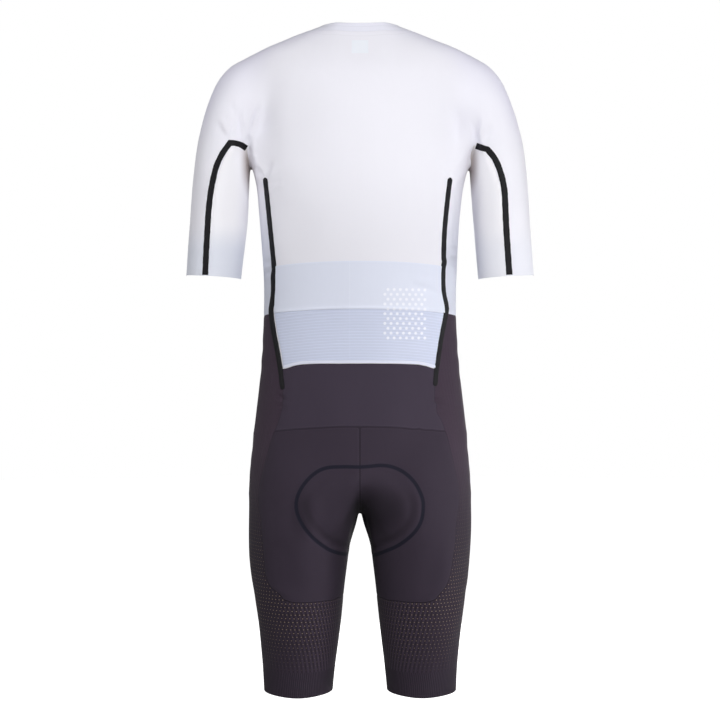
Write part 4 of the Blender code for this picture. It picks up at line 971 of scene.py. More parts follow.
# Where a shade turns along one line, in metres: from, to, and its shares at both ends where they aren't 0 and 1
FADES = {
    "cuffs": (-0.335, -0.285, 1, 0),
    "on the sleeves": (0.165, 0.175),
    "left cuff's painted shade": (-0.02, 0.02, 1, 0.4),
    "lower back": (-0.37, -0.2, 1, 0),
    "off the sleeves": (0.15, 0.16, 1, 0),
    "shoulder's depth": (-0.075, -0.025),
    "shoulder's height": (-0.2, -0.1),
    "side panel's top": (-0.38, -0.21),
    "armpit": (0.008, 0.042, 0.75, 0),
    "back only": (-0.02, 0.02, 1, 0),
    "seams of the legs": (-0.84, -0.72, 1, 0.5),
    "pad's trough": (1 * MM, 9 * MM, 0.3, 0),
    "under the pad's top": (-0.7, -0.67, 1, 0),
    "knit's inner side": (0.08, 0.14, 0.25, 0.8),
    "knit's lighter top": (-0.76, -0.6, 0, 0.7),
    "dots all round": (-0.9, -0.84, 0.15, 0.85),
    "dots off the outer line": (0.01, 0.05),
    "fewer dots inside": (0.12, 0.18, 1, 0.4),
    "dots' foot": (-0.965, -0.86),
    "dots' middle": (-0.82, -0.72, 1, 0.25),
    "dots' head": (-0.71, -0.66, 1, 0),
    "top dots": (-0.63, -0.56, 0, 0.45),
    "top dots' colour": (-0.68, -0.62),
}


def linear(red, green, blue):
    """A screen colour, 0 to 255, as linear light."""
    values = (red / 255, green / 255, blue / 255)
    return tuple(v / 12.92 if v <= 0.04045 else ((v + 0.055) / 1.055) ** 2.4 for v in values)


def tone(colour, factor=1):
    """A colour for a node, lighter or darker by one factor or by one for each of its three parts."""
    return (*np.minimum(np.array(colour) * factor, 1), 1)


class Nodes:
    """A node tree that is built in short calls, which link or set what they are given."""

    def __init__(self, tree):
        self.tree = tree

    def add(self, kind, inputs=None, **settings):
        """Makes one node, with its settings and its inputs by name or number."""
        node = self.tree.nodes.new(kind)
        for title, value in settings.items():
            setattr(node, title, value)
        for title, value in (inputs or {}).items():
            socket = node.inputs[title]
            if isinstance(value, bpy.types.NodeSocket):
                self.tree.links.new(value, socket)
            else:
                socket.default_value = value
        return node

    def use(self, name, **inputs):
        """Places a node group, which is made when it is first used."""
        tree = bpy.data.node_groups.get(name) or GROUPS[name]()
        return self.add("ShaderNodeGroup", inputs, node_tree=tree).outputs

    def math(self, operation, *values):
        return self.add("ShaderNodeMath", dict(enumerate(values)), operation=operation).outputs[0]

    def times(self, *values):
        return reduce(partial(self.math, "MULTIPLY"), values)

    def plus(self, first, second):
        return self.math("ADD", first, second)

    def minus(self, first, second):
        return self.math("SUBTRACT", first, second)

    def over(self, first, second):
        return self.math("DIVIDE", first, second)

    def gap(self, first, second=0):
        """How far apart two values are."""
        return self.math("ABSOLUTE", self.minus(first, second))

    def mix(self, share, first, second):
        return self.add("ShaderNodeMix", {0: share, 6: first, 7: second}, data_type="RGBA").outputs[2]

    def split(self, vector):
        return self.add("ShaderNodeSeparateXYZ", {0: vector}).outputs

    def length(self, vector):
        return self.add("ShaderNodeVectorMath", {0: vector}, operation="LENGTH").outputs["Value"]

    def noise(self, where, scale, detail=2.0, rough=0.5):
        inputs = {"Vector": where, "Scale": scale, "Detail": detail, "Roughness": rough}
        return self.add("ShaderNodeTexNoise", inputs).outputs["Fac"]

    def stretch(self, where, scale):
        return self.add("ShaderNodeMapping", {"Vector": where, "Scale": scale}).outputs[0]

    def attribute(self, name):
        return self.add("ShaderNodeAttribute", attribute_name=name).outputs["Fac"]

    def cloth_run(self):
        """The run round the leg and the height, from the cloth's own map."""
        return self.split(self.add("ShaderNodeUVMap", uv_map="cloth").outputs[0])

    def ramp(self, value, low, high, to_low=0, to_high=1):
        inputs = {"Value": value, "From Min": low, "From Max": high, "To Min": to_low, "To Max": to_high}
        return self.add("ShaderNodeMapRange", inputs, interpolation_type="SMOOTHSTEP").outputs[0]

    def fade(self, value, name):
        """A soft turn between two shares, from the table of fades."""
        return self.ramp(value, *FADES[name])

    def line(self, distance, at, width):
        """1 where a distance is the one that is asked for, and 0 away from there."""
        return self.use("line_at", Distance=distance, At=at, Width=width)["Line"]

    def stitches(self, place, at):
        """A row of stitches along a piece's edge."""
        return self.use("stitch_row", Place=place, Distance=self.attribute("edge"), At=at)["Stitch"]


def group(name, inputs, outputs):
    """A new shader node group with named sockets: the builder for what is in it, and its inputs."""
    tree = bpy.data.node_groups.new(name, "ShaderNodeTree")
    for titles, way in ((inputs, "INPUT"), (outputs, "OUTPUT")):
        for title in titles:
            kind = "NodeSocketVector" if title == "Place" else "NodeSocketFloat"
            tree.interface.new_socket(title, in_out=way, socket_type=kind)
    nodes = Nodes(tree)
    return nodes, nodes.add("NodeGroupInput").outputs


def jersey_group():
    """Fine stretch jersey: upright knit lines and a faint unevenness of shade."""
    nodes, start = group("fine_jersey", ("Place", "Loop"), ("Height", "Shade"))
    place = start["Place"]
    across = nodes.split(place)
    turn = nodes.over(math.tau, start["Loop"])
    side = nodes.plus(across[0], nodes.times(across[1], 0.8))
    wales = nodes.math("SINE", nodes.times(side, turn))
    courses = nodes.math("SINE", nodes.times(across[2], nodes.times(turn, 1.3)))
    grain = nodes.noise(place, 900, 3, 0.6)
    height = nodes.plus(nodes.times(wales, courses, 0.35), grain)
    broad = nodes.noise(nodes.stretch(place, (1, 1, 0.35)), 14)
    streaks = nodes.noise(nodes.stretch(place, (1, 1, 0.04)), 260)
    shade = nodes.plus(nodes.times(broad, 0.7), nodes.times(streaks, 0.3))
    nodes.add("NodeGroupOutput", {"Height": height, "Shade": shade})
    return nodes.tree


def line_group():
    """A line at a given distance from an edge: 1 on the line, 0 away from it."""
    nodes, start = group("line_at", ("Distance", "At", "Width"), ("Line",))
    share = nodes.over(nodes.gap(start["Distance"], start["At"]), start["Width"])
    nodes.add("NodeGroupOutput", {"Line": nodes.ramp(share, 0.35, 0.65, 1, 0)})
    return nodes.tree


def stitch_group():
    """A row of short stitches at a given distance from an edge."""
    nodes, start = group("stitch_row", ("Place", "Distance", "At"), ("Stitch",))
    row = nodes.ramp(nodes.gap(start["Distance"], start["At"]), 0.15 * MM, 0.4 * MM, 1, 0)
    where = nodes.split(start["Place"])
    run = nodes.plus(where[2], nodes.times(where[0], 0.87))
    dash = nodes.math("SINE", nodes.times(run, math.tau / (2.6 * MM)))
    nodes.add("NodeGroupOutput", {"Stitch": nodes.times(row, nodes.ramp(dash, -0.3, 0.1))})
    return nodes.tree


def ribs_group():
    """Even ribs across a run: 1 on a rib's top, 0 in its groove."""
    nodes, start = group("fine_ribs", ("Run", "Pitch"), ("Rib",))
    turn = nodes.over(nodes.times(start["Run"], math.tau), start["Pitch"])
    nodes.add("NodeGroupOutput", {"Rib": nodes.math("MULTIPLY_ADD", nodes.math("COSINE", turn), 0.5, 0.5)})
    return nodes.tree


def dots_group():
    """Rows of small dots, each row shifted by half a step: 1 in a dot, 0 between, and each dot's middle."""
    nodes, start = group(
        "staggered_dots", ("Across", "Up", "Step", "Row", "Radius", "Stretch"), ("Dot", "Middle Across", "Middle Up")
    )
    row = nodes.over(start["Up"], start["Row"])
    shift = nodes.times(nodes.math("FLOORED_MODULO", nodes.math("FLOOR", row), 2), 0.5)
    column = nodes.plus(nodes.over(start["Across"], start["Step"]), shift)
    x = nodes.times(nodes.minus(nodes.math("FRACT", column), 0.5), start["Step"])
    z = nodes.times(nodes.minus(nodes.math("FRACT", row), 0.5), start["Row"])
    short = nodes.over(x, start["Stretch"])
    far = nodes.math("SQRT", nodes.plus(nodes.times(short, short), nodes.times(z, z)))
    nodes.add("NodeGroupOutput", {
        "Dot": nodes.ramp(nodes.over(far, start["Radius"]), 0.7, 1.15, 1, 0),
        "Middle Across": nodes.minus(start["Across"], x),
        "Middle Up": nodes.minus(start["Up"], z),
    })
    return nodes.tree


GROUPS = {
    "fine_jersey": jersey_group,
    "line_at": line_group,
    "stitch_row": stitch_group,
    "fine_ribs": ribs_group,
    "staggered_dots": dots_group,
}


def new_material(name):
    """An empty material, its node builder and its object coordinates."""
    material = bpy.data.materials.new(name)
    material.use_nodes = True
    material.node_tree.nodes.clear()
    nodes = Nodes(material.node_tree)
    return material, nodes, nodes.add("ShaderNodeTexCoord").outputs["Object"]


def surface(nodes, colour, relief=None, **settings):
    """The end of a material: one surface shader, with a bump from a height, its strength and its depth."""
    inputs = {"Base Color": colour}
    if relief:
        bump = dict(zip(("Height", "Strength", "Distance"), relief))
        inputs["Normal"] = nodes.add("ShaderNodeBump", bump).outputs[0]
    for title, value in settings.items():
        inputs[title.replace("_", " ").title().replace("Ior", "IOR")] = value
    shader = nodes.add("ShaderNodeBsdfPrincipled", inputs)
    nodes.add("ShaderNodeOutputMaterial", {0: shader.outputs[0]})


def shaded(nodes, colour, shade, spread):
    """A colour that wanders a little darker and lighter with a shade from 0 to 1."""
    return nodes.mix(shade, tone(colour, 1 - spread), tone(colour, 1 + spread))


def knitted(nodes, place, colour, loop, spread):
    """The uneven colour and the fine relief of jersey with loops of a given size."""
    knit = nodes.use("fine_jersey", Place=place, Loop=loop)
    return shaded(nodes, colour, knit["Shade"], spread), knit["Height"]


ARMPIT, ARMPIT_SHAPE = (165 * MM, -8 * MM, -198 * MM), (2.4, 0.6, 0.75)
SHOULDER_SHADE_TINT = (0.97, 0.965, 1.03)  # painted shade: a cooler, darker tint of the jersey along the tops of the shoulders


def white_jersey(nodes, place, colour, cuffs=None, top=None, warm=None):
    """Light jersey with faint stitched lines by its edges, its cuff tint and paler top where it has them, and
    painted shade: darker lower back, more cuff tint on the left, cooler shoulder tops, warm armpits.
    """
    base, relief = knitted(nodes, place, colour, 0.9 * MM, 0.02)
    where = nodes.split(place)
    aside = nodes.gap(where[0])
    if cuffs:
        # painted shade: the jersey darker towards the lower back, away from the sleeves
        low = nodes.times(nodes.fade(where[2], "lower back"), nodes.fade(aside, "off the sleeves"))
        base = nodes.mix(low, base, tone(colour, 0.88))
        sleeves = nodes.times(nodes.fade(where[2], "cuffs"), nodes.fade(aside, "on the sleeves"))
        # the cuffs' bluer tint, stronger on the left sleeve as painted shade
        base = nodes.mix(nodes.times(sleeves, nodes.fade(where[0], "left cuff's painted shade")), base, tone(cuffs))
    if cuffs and not warm:
        # painted shade along the tops of the shoulders
        shoulder_shade = nodes.times(nodes.fade(where[1], "shoulder's depth"), nodes.fade(where[2], "shoulder's height"))
        base = nodes.mix(shoulder_shade, base, tone(colour, SHOULDER_SHADE_TINT))
    if top:
        base = nodes.mix(nodes.fade(where[2], "side panel's top"), base, tone(top))
    if warm:
        spot = nodes.add("ShaderNodeCombineXYZ", {0: aside, 1: where[1], 2: where[2]}).outputs[0]
        away = nodes.add("ShaderNodeVectorMath", {0: spot, 1: ARMPIT}, operation="SUBTRACT").outputs[0]
        far = nodes.length(nodes.stretch(away, ARMPIT_SHAPE))
        base = nodes.mix(nodes.fade(far, "armpit"), base, tone(warm))
    line = nodes.line(nodes.attribute("edge"), 0, 1.6 * MM)
    turned = nodes.line(nodes.attribute("neck"), NECK_TURN, 1.5 * MM)
    seams = nodes.times(nodes.math("MAXIMUM", line, turned), 0.14)
    base = nodes.mix(seams, base, tone(colour, 0.72))
    stitch = nodes.stitches(place, 2.2 * MM)
    base = nodes.mix(nodes.times(stitch, 0.2), base, tone(colour, 0.8))
    height = nodes.plus(relief, nodes.times(stitch, 1.2))
    surface(nodes, base, (height, 0.09, 0.25 * MM), roughness=0.7, specular_ior_level=0.2)


# Painted shade in the seat's cloth, in its middle and beside it: middle across and up, half width and height, and
# how dark
SEAT_SHADE_SPOTS = (
    (-0.5 * MM, -707 * MM, 8 * MM, 22 * MM, 0.95),
    (22 * MM, -707 * MM, 46 * MM, 44 * MM, 0.6),
    (-84 * MM, -712 * MM, 18 * MM, 40 * MM, 0.25),
)
SEAT_SHADE_SOFT = (0.3, 1.25)  # each starts to fade here and ends here, as shares of its half width and height
PAD_TROUGH = 14 * MM  # where shade is painted in the hollow inside the pad's line


def dark_jersey(nodes, place, colour, pad_line):
    """Dark jersey with its stitched seams, the line bonded round the pad, and painted shade in the seat's middle,
    beside it and in the hollow inside the pad's line.
    """
    base, relief = knitted(nodes, place, colour, 0.9 * MM, 0.07)
    where = nodes.split(place)
    back = nodes.fade(where[1], "back only")
    # painted shade in and beside the seat's middle, on the back only
    for across, up, half_width, half_height, dark in SEAT_SHADE_SPOTS:
        spot = nodes.add("ShaderNodeCombineXYZ", {
            0: nodes.over(nodes.minus(where[0], across), half_width),
            1: nodes.over(nodes.minus(where[2], up), half_height),
        }).outputs[0]
        shade = nodes.times(nodes.ramp(nodes.length(spot), *SEAT_SHADE_SOFT, dark, 0), back)
        base = nodes.mix(shade, base, tone(colour, 0.12))
    line = nodes.line(nodes.attribute("edge"), 0, 2.6 * MM)
    base = nodes.mix(nodes.times(line, nodes.fade(where[2], "seams of the legs")), base, tone(colour, 0.4))
    stitch = nodes.stitches(place, 2.4 * MM)
    base = nodes.mix(nodes.times(stitch, 0.5), base, tone(colour, 1.6))
    inside = nodes.attribute("pad")
    # painted shade in the hollow inside the pad's line, on the back only
    pad_hollow_shade = nodes.fade(nodes.gap(inside, PAD_TROUGH), "pad's trough")
    pad_hollow_shade = nodes.times(pad_hollow_shade, nodes.fade(where[2], "under the pad's top"), back)
    base = nodes.mix(pad_hollow_shade, base, tone(colour, 0.3))
    base = nodes.mix(nodes.line(inside, 0, 5.4 * MM), base, tone(pad_line))
    height = nodes.plus(relief, nodes.times(stitch, 0.8))
    surface(nodes, base, (height, 0.14, 0.25 * MM), roughness=0.75, specular_ior_level=0.12, sheen_weight=0.03)


KNIT_TOP = (1.87, 1.7, 1.68)  # how much lighter the knit's top is, in red, green and blue
KNIT_DOTS = {"Step": 6.3 * MM, "Row": 5.5 * MM, "Stretch": 1.3}


def dotted_knit(nodes, place, colour, dot_colour):
    """Dark knit with rows of small open dots between upright columns."""
    around, up, _ = nodes.cloth_run()
    off = nodes.gap(around)
    base, _ = knitted(nodes, place, colour, 1.1 * MM, 0.1)
    inner = nodes.fade(off, "knit's inner side")
    columns = nodes.use("fine_ribs", Run=around, Pitch=KNIT_DOTS["Step"])["Rib"]
    groove = nodes.times(nodes.minus(1, columns), nodes.times(inner, 0.7))
    base = nodes.mix(groove, base, tone(colour, 0.45))
    base = nodes.mix(nodes.times(columns, inner), base, tone(colour, 1.8))
    base = nodes.mix(nodes.fade(up, "knit's lighter top"), base, tone(colour, KNIT_TOP))
    outer = nodes.fade(up, "dots all round")
    strength = nodes.times(nodes.fade(off, "dots off the outer line"), nodes.minus(1, outer))
    strength = nodes.times(nodes.plus(strength, outer), nodes.fade(off, "fewer dots inside"))
    strength = nodes.times(strength, nodes.ramp(nodes.noise(place, 22), 0.3, 0.75, 0.6, 1))
    for name in ("dots' foot", "dots' middle", "dots' head"):
        strength = nodes.times(strength, nodes.fade(up, name))
    strength = nodes.plus(strength, nodes.fade(up, "top dots"))
    pale = nodes.mix(nodes.fade(up, "top dots' colour"), tone(dot_colour), tone(colour, 3.2))
    for radius, shade, share in ((1.9 * MM, tone(colour, 0.5), 0.85), (0.82 * MM, pale, 1)):
        dot = nodes.use("staggered_dots", Across=around, Up=up, Radius=radius, **KNIT_DOTS)["Dot"]
        dot = nodes.times(dot, strength)
        base = nodes.mix(nodes.times(dot, share), base, shade)
    height = nodes.minus(nodes.times(columns, 0.6), nodes.times(dot, 1.2))
    surface(nodes, base, (height, 0.5, 0.4 * MM), roughness=0.75, specular_ior_level=0.12, sheen_weight=0.06)


def hem_ribs(nodes, place, colour):
    """The leg's finely ribbed band."""
    base, _ = knitted(nodes, place, colour, 1 * MM, 0.08)
    rib = nodes.use("fine_ribs", Run=nodes.cloth_run()[0], Pitch=2.85 * MM)["Rib"]
    base = nodes.mix(nodes.times(nodes.minus(1, rib), 0.45), base, tone(colour, 0.5))
    base = nodes.mix(nodes.times(rib, 0.6), base, tone(colour, 1.9))
    surface(nodes, base, (rib, 0.5, 0.5 * MM), roughness=0.75, specular_ior_level=0.12, sheen_weight=0.03)


DOT_GRID_ACROSS, DOT_GRID_UP = (35 * MM, 97 * MM), (-461 * MM, -384 * MM)
GRID_DOTS = {"Step": 9 * MM, "Row": 7 * MM, "Radius": 2.3 * MM, "Stretch": 1}
DIVIDER_ACROSS = -15 * MM  # the stitched line between the pocket's two halves


def pocket_cloth(nodes, place, colour, ribs, dot_colour):
    """The pocket's pale cloth, with a small grid of paler dots at its right."""
    base, height = knitted(nodes, place, colour, 0.9 * MM, 0.03)
    across, _, up = nodes.split(place)
    run = nodes.plus(up, nodes.times(across, across, POCKET_BOW))
    if ribs:
        rib = nodes.use("fine_ribs", Run=run, Pitch=RIB_PITCH)["Rib"]
        base = nodes.mix(nodes.times(nodes.ramp(rib, 0.75, 1), 0.36), base, tone(colour, 1.3))
        height = nodes.plus(rib, nodes.times(height, 0.2))
    line = nodes.line(nodes.gap(across, DIVIDER_ACROSS), 0, 1.6 * MM)
    base = nodes.mix(nodes.times(line, 0.12), base, tone(colour, 1.25))
    if not ribs:
        # painted highlight along the band's lower fold
        fold_highlight = nodes.line(run, POCKET_SEAM + 2 * MM, 5 * MM)
        base = nodes.mix(nodes.times(fold_highlight, 0.32), base, tone(colour, 1.15))
    dots = nodes.use("staggered_dots", Across=across, Up=up, **GRID_DOTS)
    dot = dots["Dot"]
    for value, (low, high) in ((dots["Middle Across"], DOT_GRID_ACROSS), (dots["Middle Up"], DOT_GRID_UP)):
        dot = nodes.times(dot, nodes.math("GREATER_THAN", value, low), nodes.math("LESS_THAN", value, high))
    base = nodes.mix(nodes.times(dot, 0.85), base, tone(dot_colour))
    surface(nodes, base, (height, 0.3 if ribs else 0.12, 0.3 * MM), roughness=0.6, sheen_weight=0.1)


def smooth_binding(nodes, place, colour):
    """A smooth stretch edge or patch with a fine even weave."""
    base, relief = knitted(nodes, place, colour, 0.7 * MM, 0.02)
    line = nodes.line(nodes.attribute("edge"), 1.4 * MM, 0.7 * MM)
    base = nodes.mix(nodes.times(line, 0.15), base, tone(colour, 0.8))
    surface(nodes, base, (relief, 0.1, 0.2 * MM), roughness=0.55)


def bonded_tape(nodes, place, colour):
    """Matt black tape with a faint cross weave and a slightly worn edge."""
    weave = nodes.noise(nodes.stretch(place, (1, 1, 2.5)), 1300)
    base = nodes.mix(weave, tone(colour, 0.75), tone(colour, 1.35))
    rim = nodes.line(nodes.attribute("edge"), 0, 0.9 * MM)
    base = nodes.mix(nodes.times(rim, 0.3), base, tone(colour, 2.2))
    surface(nodes, base, (weave, 0.2, 0.2 * MM), roughness=0.6, specular_ior_level=0.2)


def pad_foam(nodes, place, colour):
    """Cloth-faced foam with a fine brushed grain."""
    base, relief = knitted(nodes, place, colour, 1.4 * MM, 0.15)
    surface(nodes, base, (relief, 0.3, 0.5 * MM), roughness=0.85, specular_ior_level=0.15, sheen_weight=0.05)


def moulded_teeth(nodes, place, colour):
    """Satin moulded plastic."""
    grain = nodes.noise(place, 1500)
    surface(nodes, shaded(nodes, colour, grain, 0.05), (grain, 0.05, 0.1 * MM), roughness=0.4)


def worn_metal(nodes, place, colour):
    """Satin metal, brighter and smoother where it is handled."""
    scratch = nodes.noise(nodes.stretch(place, (1, 1, 8)), 700, 3)
    wear = nodes.ramp(nodes.noise(place, 160, 3), 0.35, 0.7)
    base = nodes.mix(wear, tone(colour), tone(colour, 1.35))
    surface(nodes, base, (scratch, 0.08, 0.1 * MM), metallic=0.9, roughness=nodes.ramp(wear, 0, 1, 0.42, 0.28))


MAKERS = {  # what makes each slot's finish, and the other colours that it takes
    "white_jersey": (white_jersey, {"cuffs": "cuff_tint"}),
    "under_sleeve_jersey": (white_jersey, {"cuffs": "cuff_tint", "warm": "armpit_shade"}),
    "pale_blue_jersey": (white_jersey, {"top": "white_jersey"}),
    "collar_jersey": (white_jersey, {}),
    "waist_jersey": (dark_jersey, {"pad_line": "pad_line"}),
    "seat_jersey": (dark_jersey, {"pad_line": "pad_line"}),
    "dotted_knit": (dotted_knit, {"dot_colour": "open_dots"}),
    "hem_ribs": (hem_ribs, {}),
    "pocket_band": (partial(pocket_cloth, ribs=False), {"dot_colour": "pocket_dots"}),
    "pocket_ribs": (partial(pocket_cloth, ribs=True), {"dot_colour": "pocket_dots"}),
    "pocket_edge": (smooth_binding, {}),
    "label": (smooth_binding, {}),
    "bonded_tape": (bonded_tape, {}),
    "pad_foam": (pad_foam, {}),
    "zip_strip": (smooth_binding, {}),
    "zip_teeth": (moulded_teeth, {}),
    "zip_metal": (worn_metal, {}),
}


@cache
def finish(slot):
    """The material of a slot, made once from the colours that are set."""
    colours = bpy.context.scene.skinsuit_colours
    maker, others = MAKERS[slot]
    others = {part: tuple(getattr(colours, name)) for part, name in others.items()}
    material, nodes, place = new_material(f"{slot}_finish")
    maker(nodes, place, tuple(getattr(colours, slot)), **others)
    return material


# ---------------------------------------------------------------- pad and zip

FLAT_ENOUGH = math.radians(60)  # two of the pad's triangles that meet flatter than this are made one quad
PAD_TURN = 1.5  # how soon the channels are whole where the pad turns towards the wearer
CHANNELS = ((0, 5, 1.0), (42, 4.5, 0.8))  # out from the middle, half width in millimetres, share of the depth
CHANNEL_DEPTH, PAD_INSET = 1.6 * MM, 0.3 * MM


def make_pad():
    """The seat pad: the frame's solid made smooth, with three moulded channels on the wearer's side."""
    mesh = node_mesh("seat_pad")
    bmesh.ops.join_triangles(
        mesh, faces=mesh.faces, angle_face_threshold=FLAT_ENOUGH, angle_shape_threshold=math.pi
    )
    mesh.verts.index_update()
    points = [tuple(point.co) for point in mesh.verts]
    faces = [[point.index for point in face.verts] for face in mesh.faces]
    mesh.free()
    points, quads, _ = smooth(points, faces, [0] * len(faces), levels=3, fits=0)
    points = settled(points)
    normals = point_normals(points, quads)
    inward = [-cloth().tree.find_nearest(Vector(point))[1].dot(Vector(way)) for point, way in zip(points, normals)]
    out = np.abs(points[:, 0])
    channels = sum(share * bell(out, width * MM, middle * MM) for middle, width, share in CHANNELS)
    sunk = channels * ease(np.array(inward) * PAD_TURN) * CHANNEL_DEPTH + PAD_INSET
    points = points + follow(points) - normals * sunk[:, None]
    piece = new_piece("seat_pad_foam", points, quads)
    piece.data.materials.append(finish("pad_foam"))
    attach(piece, GARMENT)
    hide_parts("seat_pad")


TOOTH_PITCH = 2.5 * MM
TOOTH_SIZE, TOOTH_BEVEL = (1.9 * MM, 1.3 * MM, 1.25 * MM), 0.35 * MM
TOOTH_ASIDE, TOOTH_RISE = 0.75 * MM, 0.2 * MM
STRIP_THICKNESS = 0.9 * MM
MIDDLE_REACH = 0.6 * MM  # a strip's points this near to the middle lie on its middle line


def centre_line(node):
    """The points down the middle of a strip's outer skin, from top to bottom."""
    points = np.array(outer_skin(node)[0])
    middle = points[np.abs(points[:, 0]) < MIDDLE_REACH]
    return middle[np.argsort(-middle[:, 2])]


def resample(line, step):
    """Points at even steps along a line, with the line's direction at each."""
    run = run_along(line)
    spots = places_on(line, run, np.arange(step / 2, run[-1], step))
    ways = np.gradient(spots, axis=0)
    return spots, ways / np.linalg.norm(ways, axis=1, keepdims=True)


def deselect():
    """Leaves nothing selected, so that an operator acts on what it makes."""
    for thing in bpy.context.view_layer.objects:
        thing.select_set(False)


def shaped(size, bevel):
    """A block with bevelled edges round the origin, made with the modelling operators."""
    deselect()
    bpy.ops.mesh.primitive_cube_add(size=1)
    block = bpy.context.object
    block.dimensions = size
    bpy.ops.object.transform_apply(location=True, rotation=True, scale=True)
    edges = block.modifiers.new("edges", "BEVEL")
    edges.width, edges.segments = bevel, 1
    bpy.ops.object.modifier_apply(modifier="edges")
    return block


def make_zip():
    """The zip's chain: a woven strip and two rows of teeth that mesh down its middle."""
    skin, quads, _ = smooth(*quad_net([outer_skin("zip_chain")]), levels=2)
    skin, quads, _ = walled(skin, point_normals(skin, quads), quads, STRIP_THICKNESS)
    points, faces = [tuple(point) for point in skin], quads.tolist()
    kinds = [0] * len(faces)
    spots, ways = resample(centre_line("zip_chain"), TOOTH_PITCH)
    tooth = shaped(TOOTH_SIZE, TOOTH_BEVEL)
    shape = read(tooth.data.vertices, "co", 3)
    tooth_faces = [list(face.vertices) for face in tooth.data.polygons]
    bpy.data.objects.remove(tooth)
    for spot, way in zip(spots, ways):
        out = np.cross((1, 0, 0), way)
        out = out if out[1] > 0 else -out
        turn = np.array([np.cross(way, out), out, way])
        for row in (-1, 1):
            aside = np.array((row * TOOTH_ASIDE, 0, 0))
            middle = spot + aside + way * (row * TOOTH_PITCH / 4) + out * TOOTH_RISE
            start = len(points)
            points += [tuple(point) for point in shape @ turn + middle]
            faces += [[start + corner for corner in face] for face in tooth_faces]
            kinds += [1] * len(tooth_faces)
    data = bpy.data.meshes.new("front_zip")
    data.from_pydata(points, [], faces)
    data.polygons.foreach_set("material_index", kinds)
    piece = bpy.data.objects.new("front_zip", data)
    bpy.context.collection.objects.link(piece)
    data.materials.append(finish("zip_strip"))
    data.materials.append(finish("zip_teeth"))
    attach(piece, GARMENT)
    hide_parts("zip_chain")


# ---------------------------------------------------------------- stage

FLOOR_HEIGHT, FLOOR_RADIUS, FLOOR_SIDES = -1.3, 9, 96
SENSOR_WIDTH, FOCAL_LENGTH = 36, 83.333  # in millimetres
WHITE, SHADOWED = (1, 1, 1, 1), (0.4, 0.4, 0.4, 1)
PALE, PALER = (0.78, 0.78, 0.78, 1), (0.82, 0.82, 0.82, 1)
WORLD_GLOW, WORLD_TOP_GLOW = 0.58, 0.18  # level with the garment, and overhead
# Place, aim, diameter, power and spread in degrees of each soft light
LIGHTS = (
    ("key", (1.15, -2.6, 0.25), (0.0, 0.0, -0.45), 1.8, 46.5, 180),
    ("fill", (-2.3, -1.5, 0.1), (-0.2, 0.0, -0.2), 1.2, 1.25, 40),
    ("side", (2.0, -0.2, -1.05), (0.0, 0.0, -0.72), 0.9, 1.0, 25),
    ("far_side", (0.4, 2.6, -0.3), (0.0, 0.0, -0.45), 1.8, 22, 180),
    ("shoulder", (1.7, -1.0, 0.9), (0.17, 0.0, -0.07), 0.8, 0.1, 26),
)


def make_stage():
    """A plain pale floor, soft studio light and the camera behind the garment."""
    deselect()
    bpy.ops.mesh.primitive_circle_add(
        vertices=FLOOR_SIDES, radius=FLOOR_RADIUS, fill_type="NGON", location=(0, 0, FLOOR_HEIGHT)
    )
    floor = bpy.context.object
    floor.name = "studio_floor"
    bpy.ops.object.transform_apply(location=True, rotation=True, scale=True)
    material, nodes, place = new_material("pale_floor")
    seen = nodes.add("ShaderNodeLightPath").outputs["Is Camera Ray"]
    base = nodes.mix(seen, SHADOWED, nodes.mix(nodes.noise(place, 0.8, 1), PALE, PALER))
    surface(nodes, base, roughness=0.9, emission_color=WHITE, emission_strength=nodes.times(seen, 0.85))
    floor.data.materials.append(material)

    scene = bpy.context.scene
    scene.view_settings.view_transform = "Standard"
    world = bpy.data.worlds.new("studio")
    world.use_nodes = True
    world.node_tree.nodes.clear()
    nodes = Nodes(world.node_tree)
    way = nodes.split(nodes.add("ShaderNodeTexCoord").outputs["Generated"])
    strength = nodes.ramp(way[2], 0.1, 0.8, WORLD_GLOW, WORLD_TOP_GLOW)
    glow = nodes.add("ShaderNodeBackground", {"Color": WHITE, "Strength": strength})
    white = nodes.add("ShaderNodeBackground", {"Color": WHITE, "Strength": 1})
    seen = nodes.add("ShaderNodeLightPath").outputs["Is Camera Ray"]
    mixed = nodes.add("ShaderNodeMixShader", {0: seen, 1: glow.outputs[0], 2: white.outputs[0]})
    nodes.add("ShaderNodeOutputWorld", {0: mixed.outputs[0]})
    scene.world = world

    for title, place, aim, size, power, spread in LIGHTS:
        data = bpy.data.lights.new(title, "AREA")
        data.shape, data.size, data.energy, data.spread = "DISK", size, power, math.radians(spread)
        light = bpy.data.objects.new(title, data)
        light.location = place
        light.rotation_euler = (Vector(aim) - Vector(place)).to_track_quat("-Z", "Y").to_euler()
        scene.collection.objects.link(light)

    lens = bpy.data.cameras.new("camera")
    lens.sensor_width, lens.lens = SENSOR_WIDTH, FOCAL_LENGTH
    camera = bpy.data.objects.new("camera", lens)
    camera.location = (0, -EYE_BACK, EYE_HEIGHT)
    camera.rotation_euler = (math.pi / 2, 0, 0)
    scene.collection.objects.link(camera)
    scene.camera = camera


# ---------------------------------------------------------------- settings


def colour_setting(name, description, colour):
    """A colour that a user can set, given as a screen colour, 0 to 255."""
    return bpy.props.FloatVectorProperty(
        name=name, description=description, subtype="COLOR", size=3, min=0, max=1, default=linear(*colour)
    )


class SkinsuitSizes(bpy.types.PropertyGroup):
    """The sizes that a user would change."""

    cloth_thickness: bpy.props.FloatProperty(
        name="Cloth thickness", description="The panels' wall", default=0.9 * MM, unit="LENGTH"
    )
    crease_depth: bpy.props.FloatProperty(
        name="Crease depth", description="How deep the creases are", subtype="FACTOR", default=2.2, min=0, max=4
    )


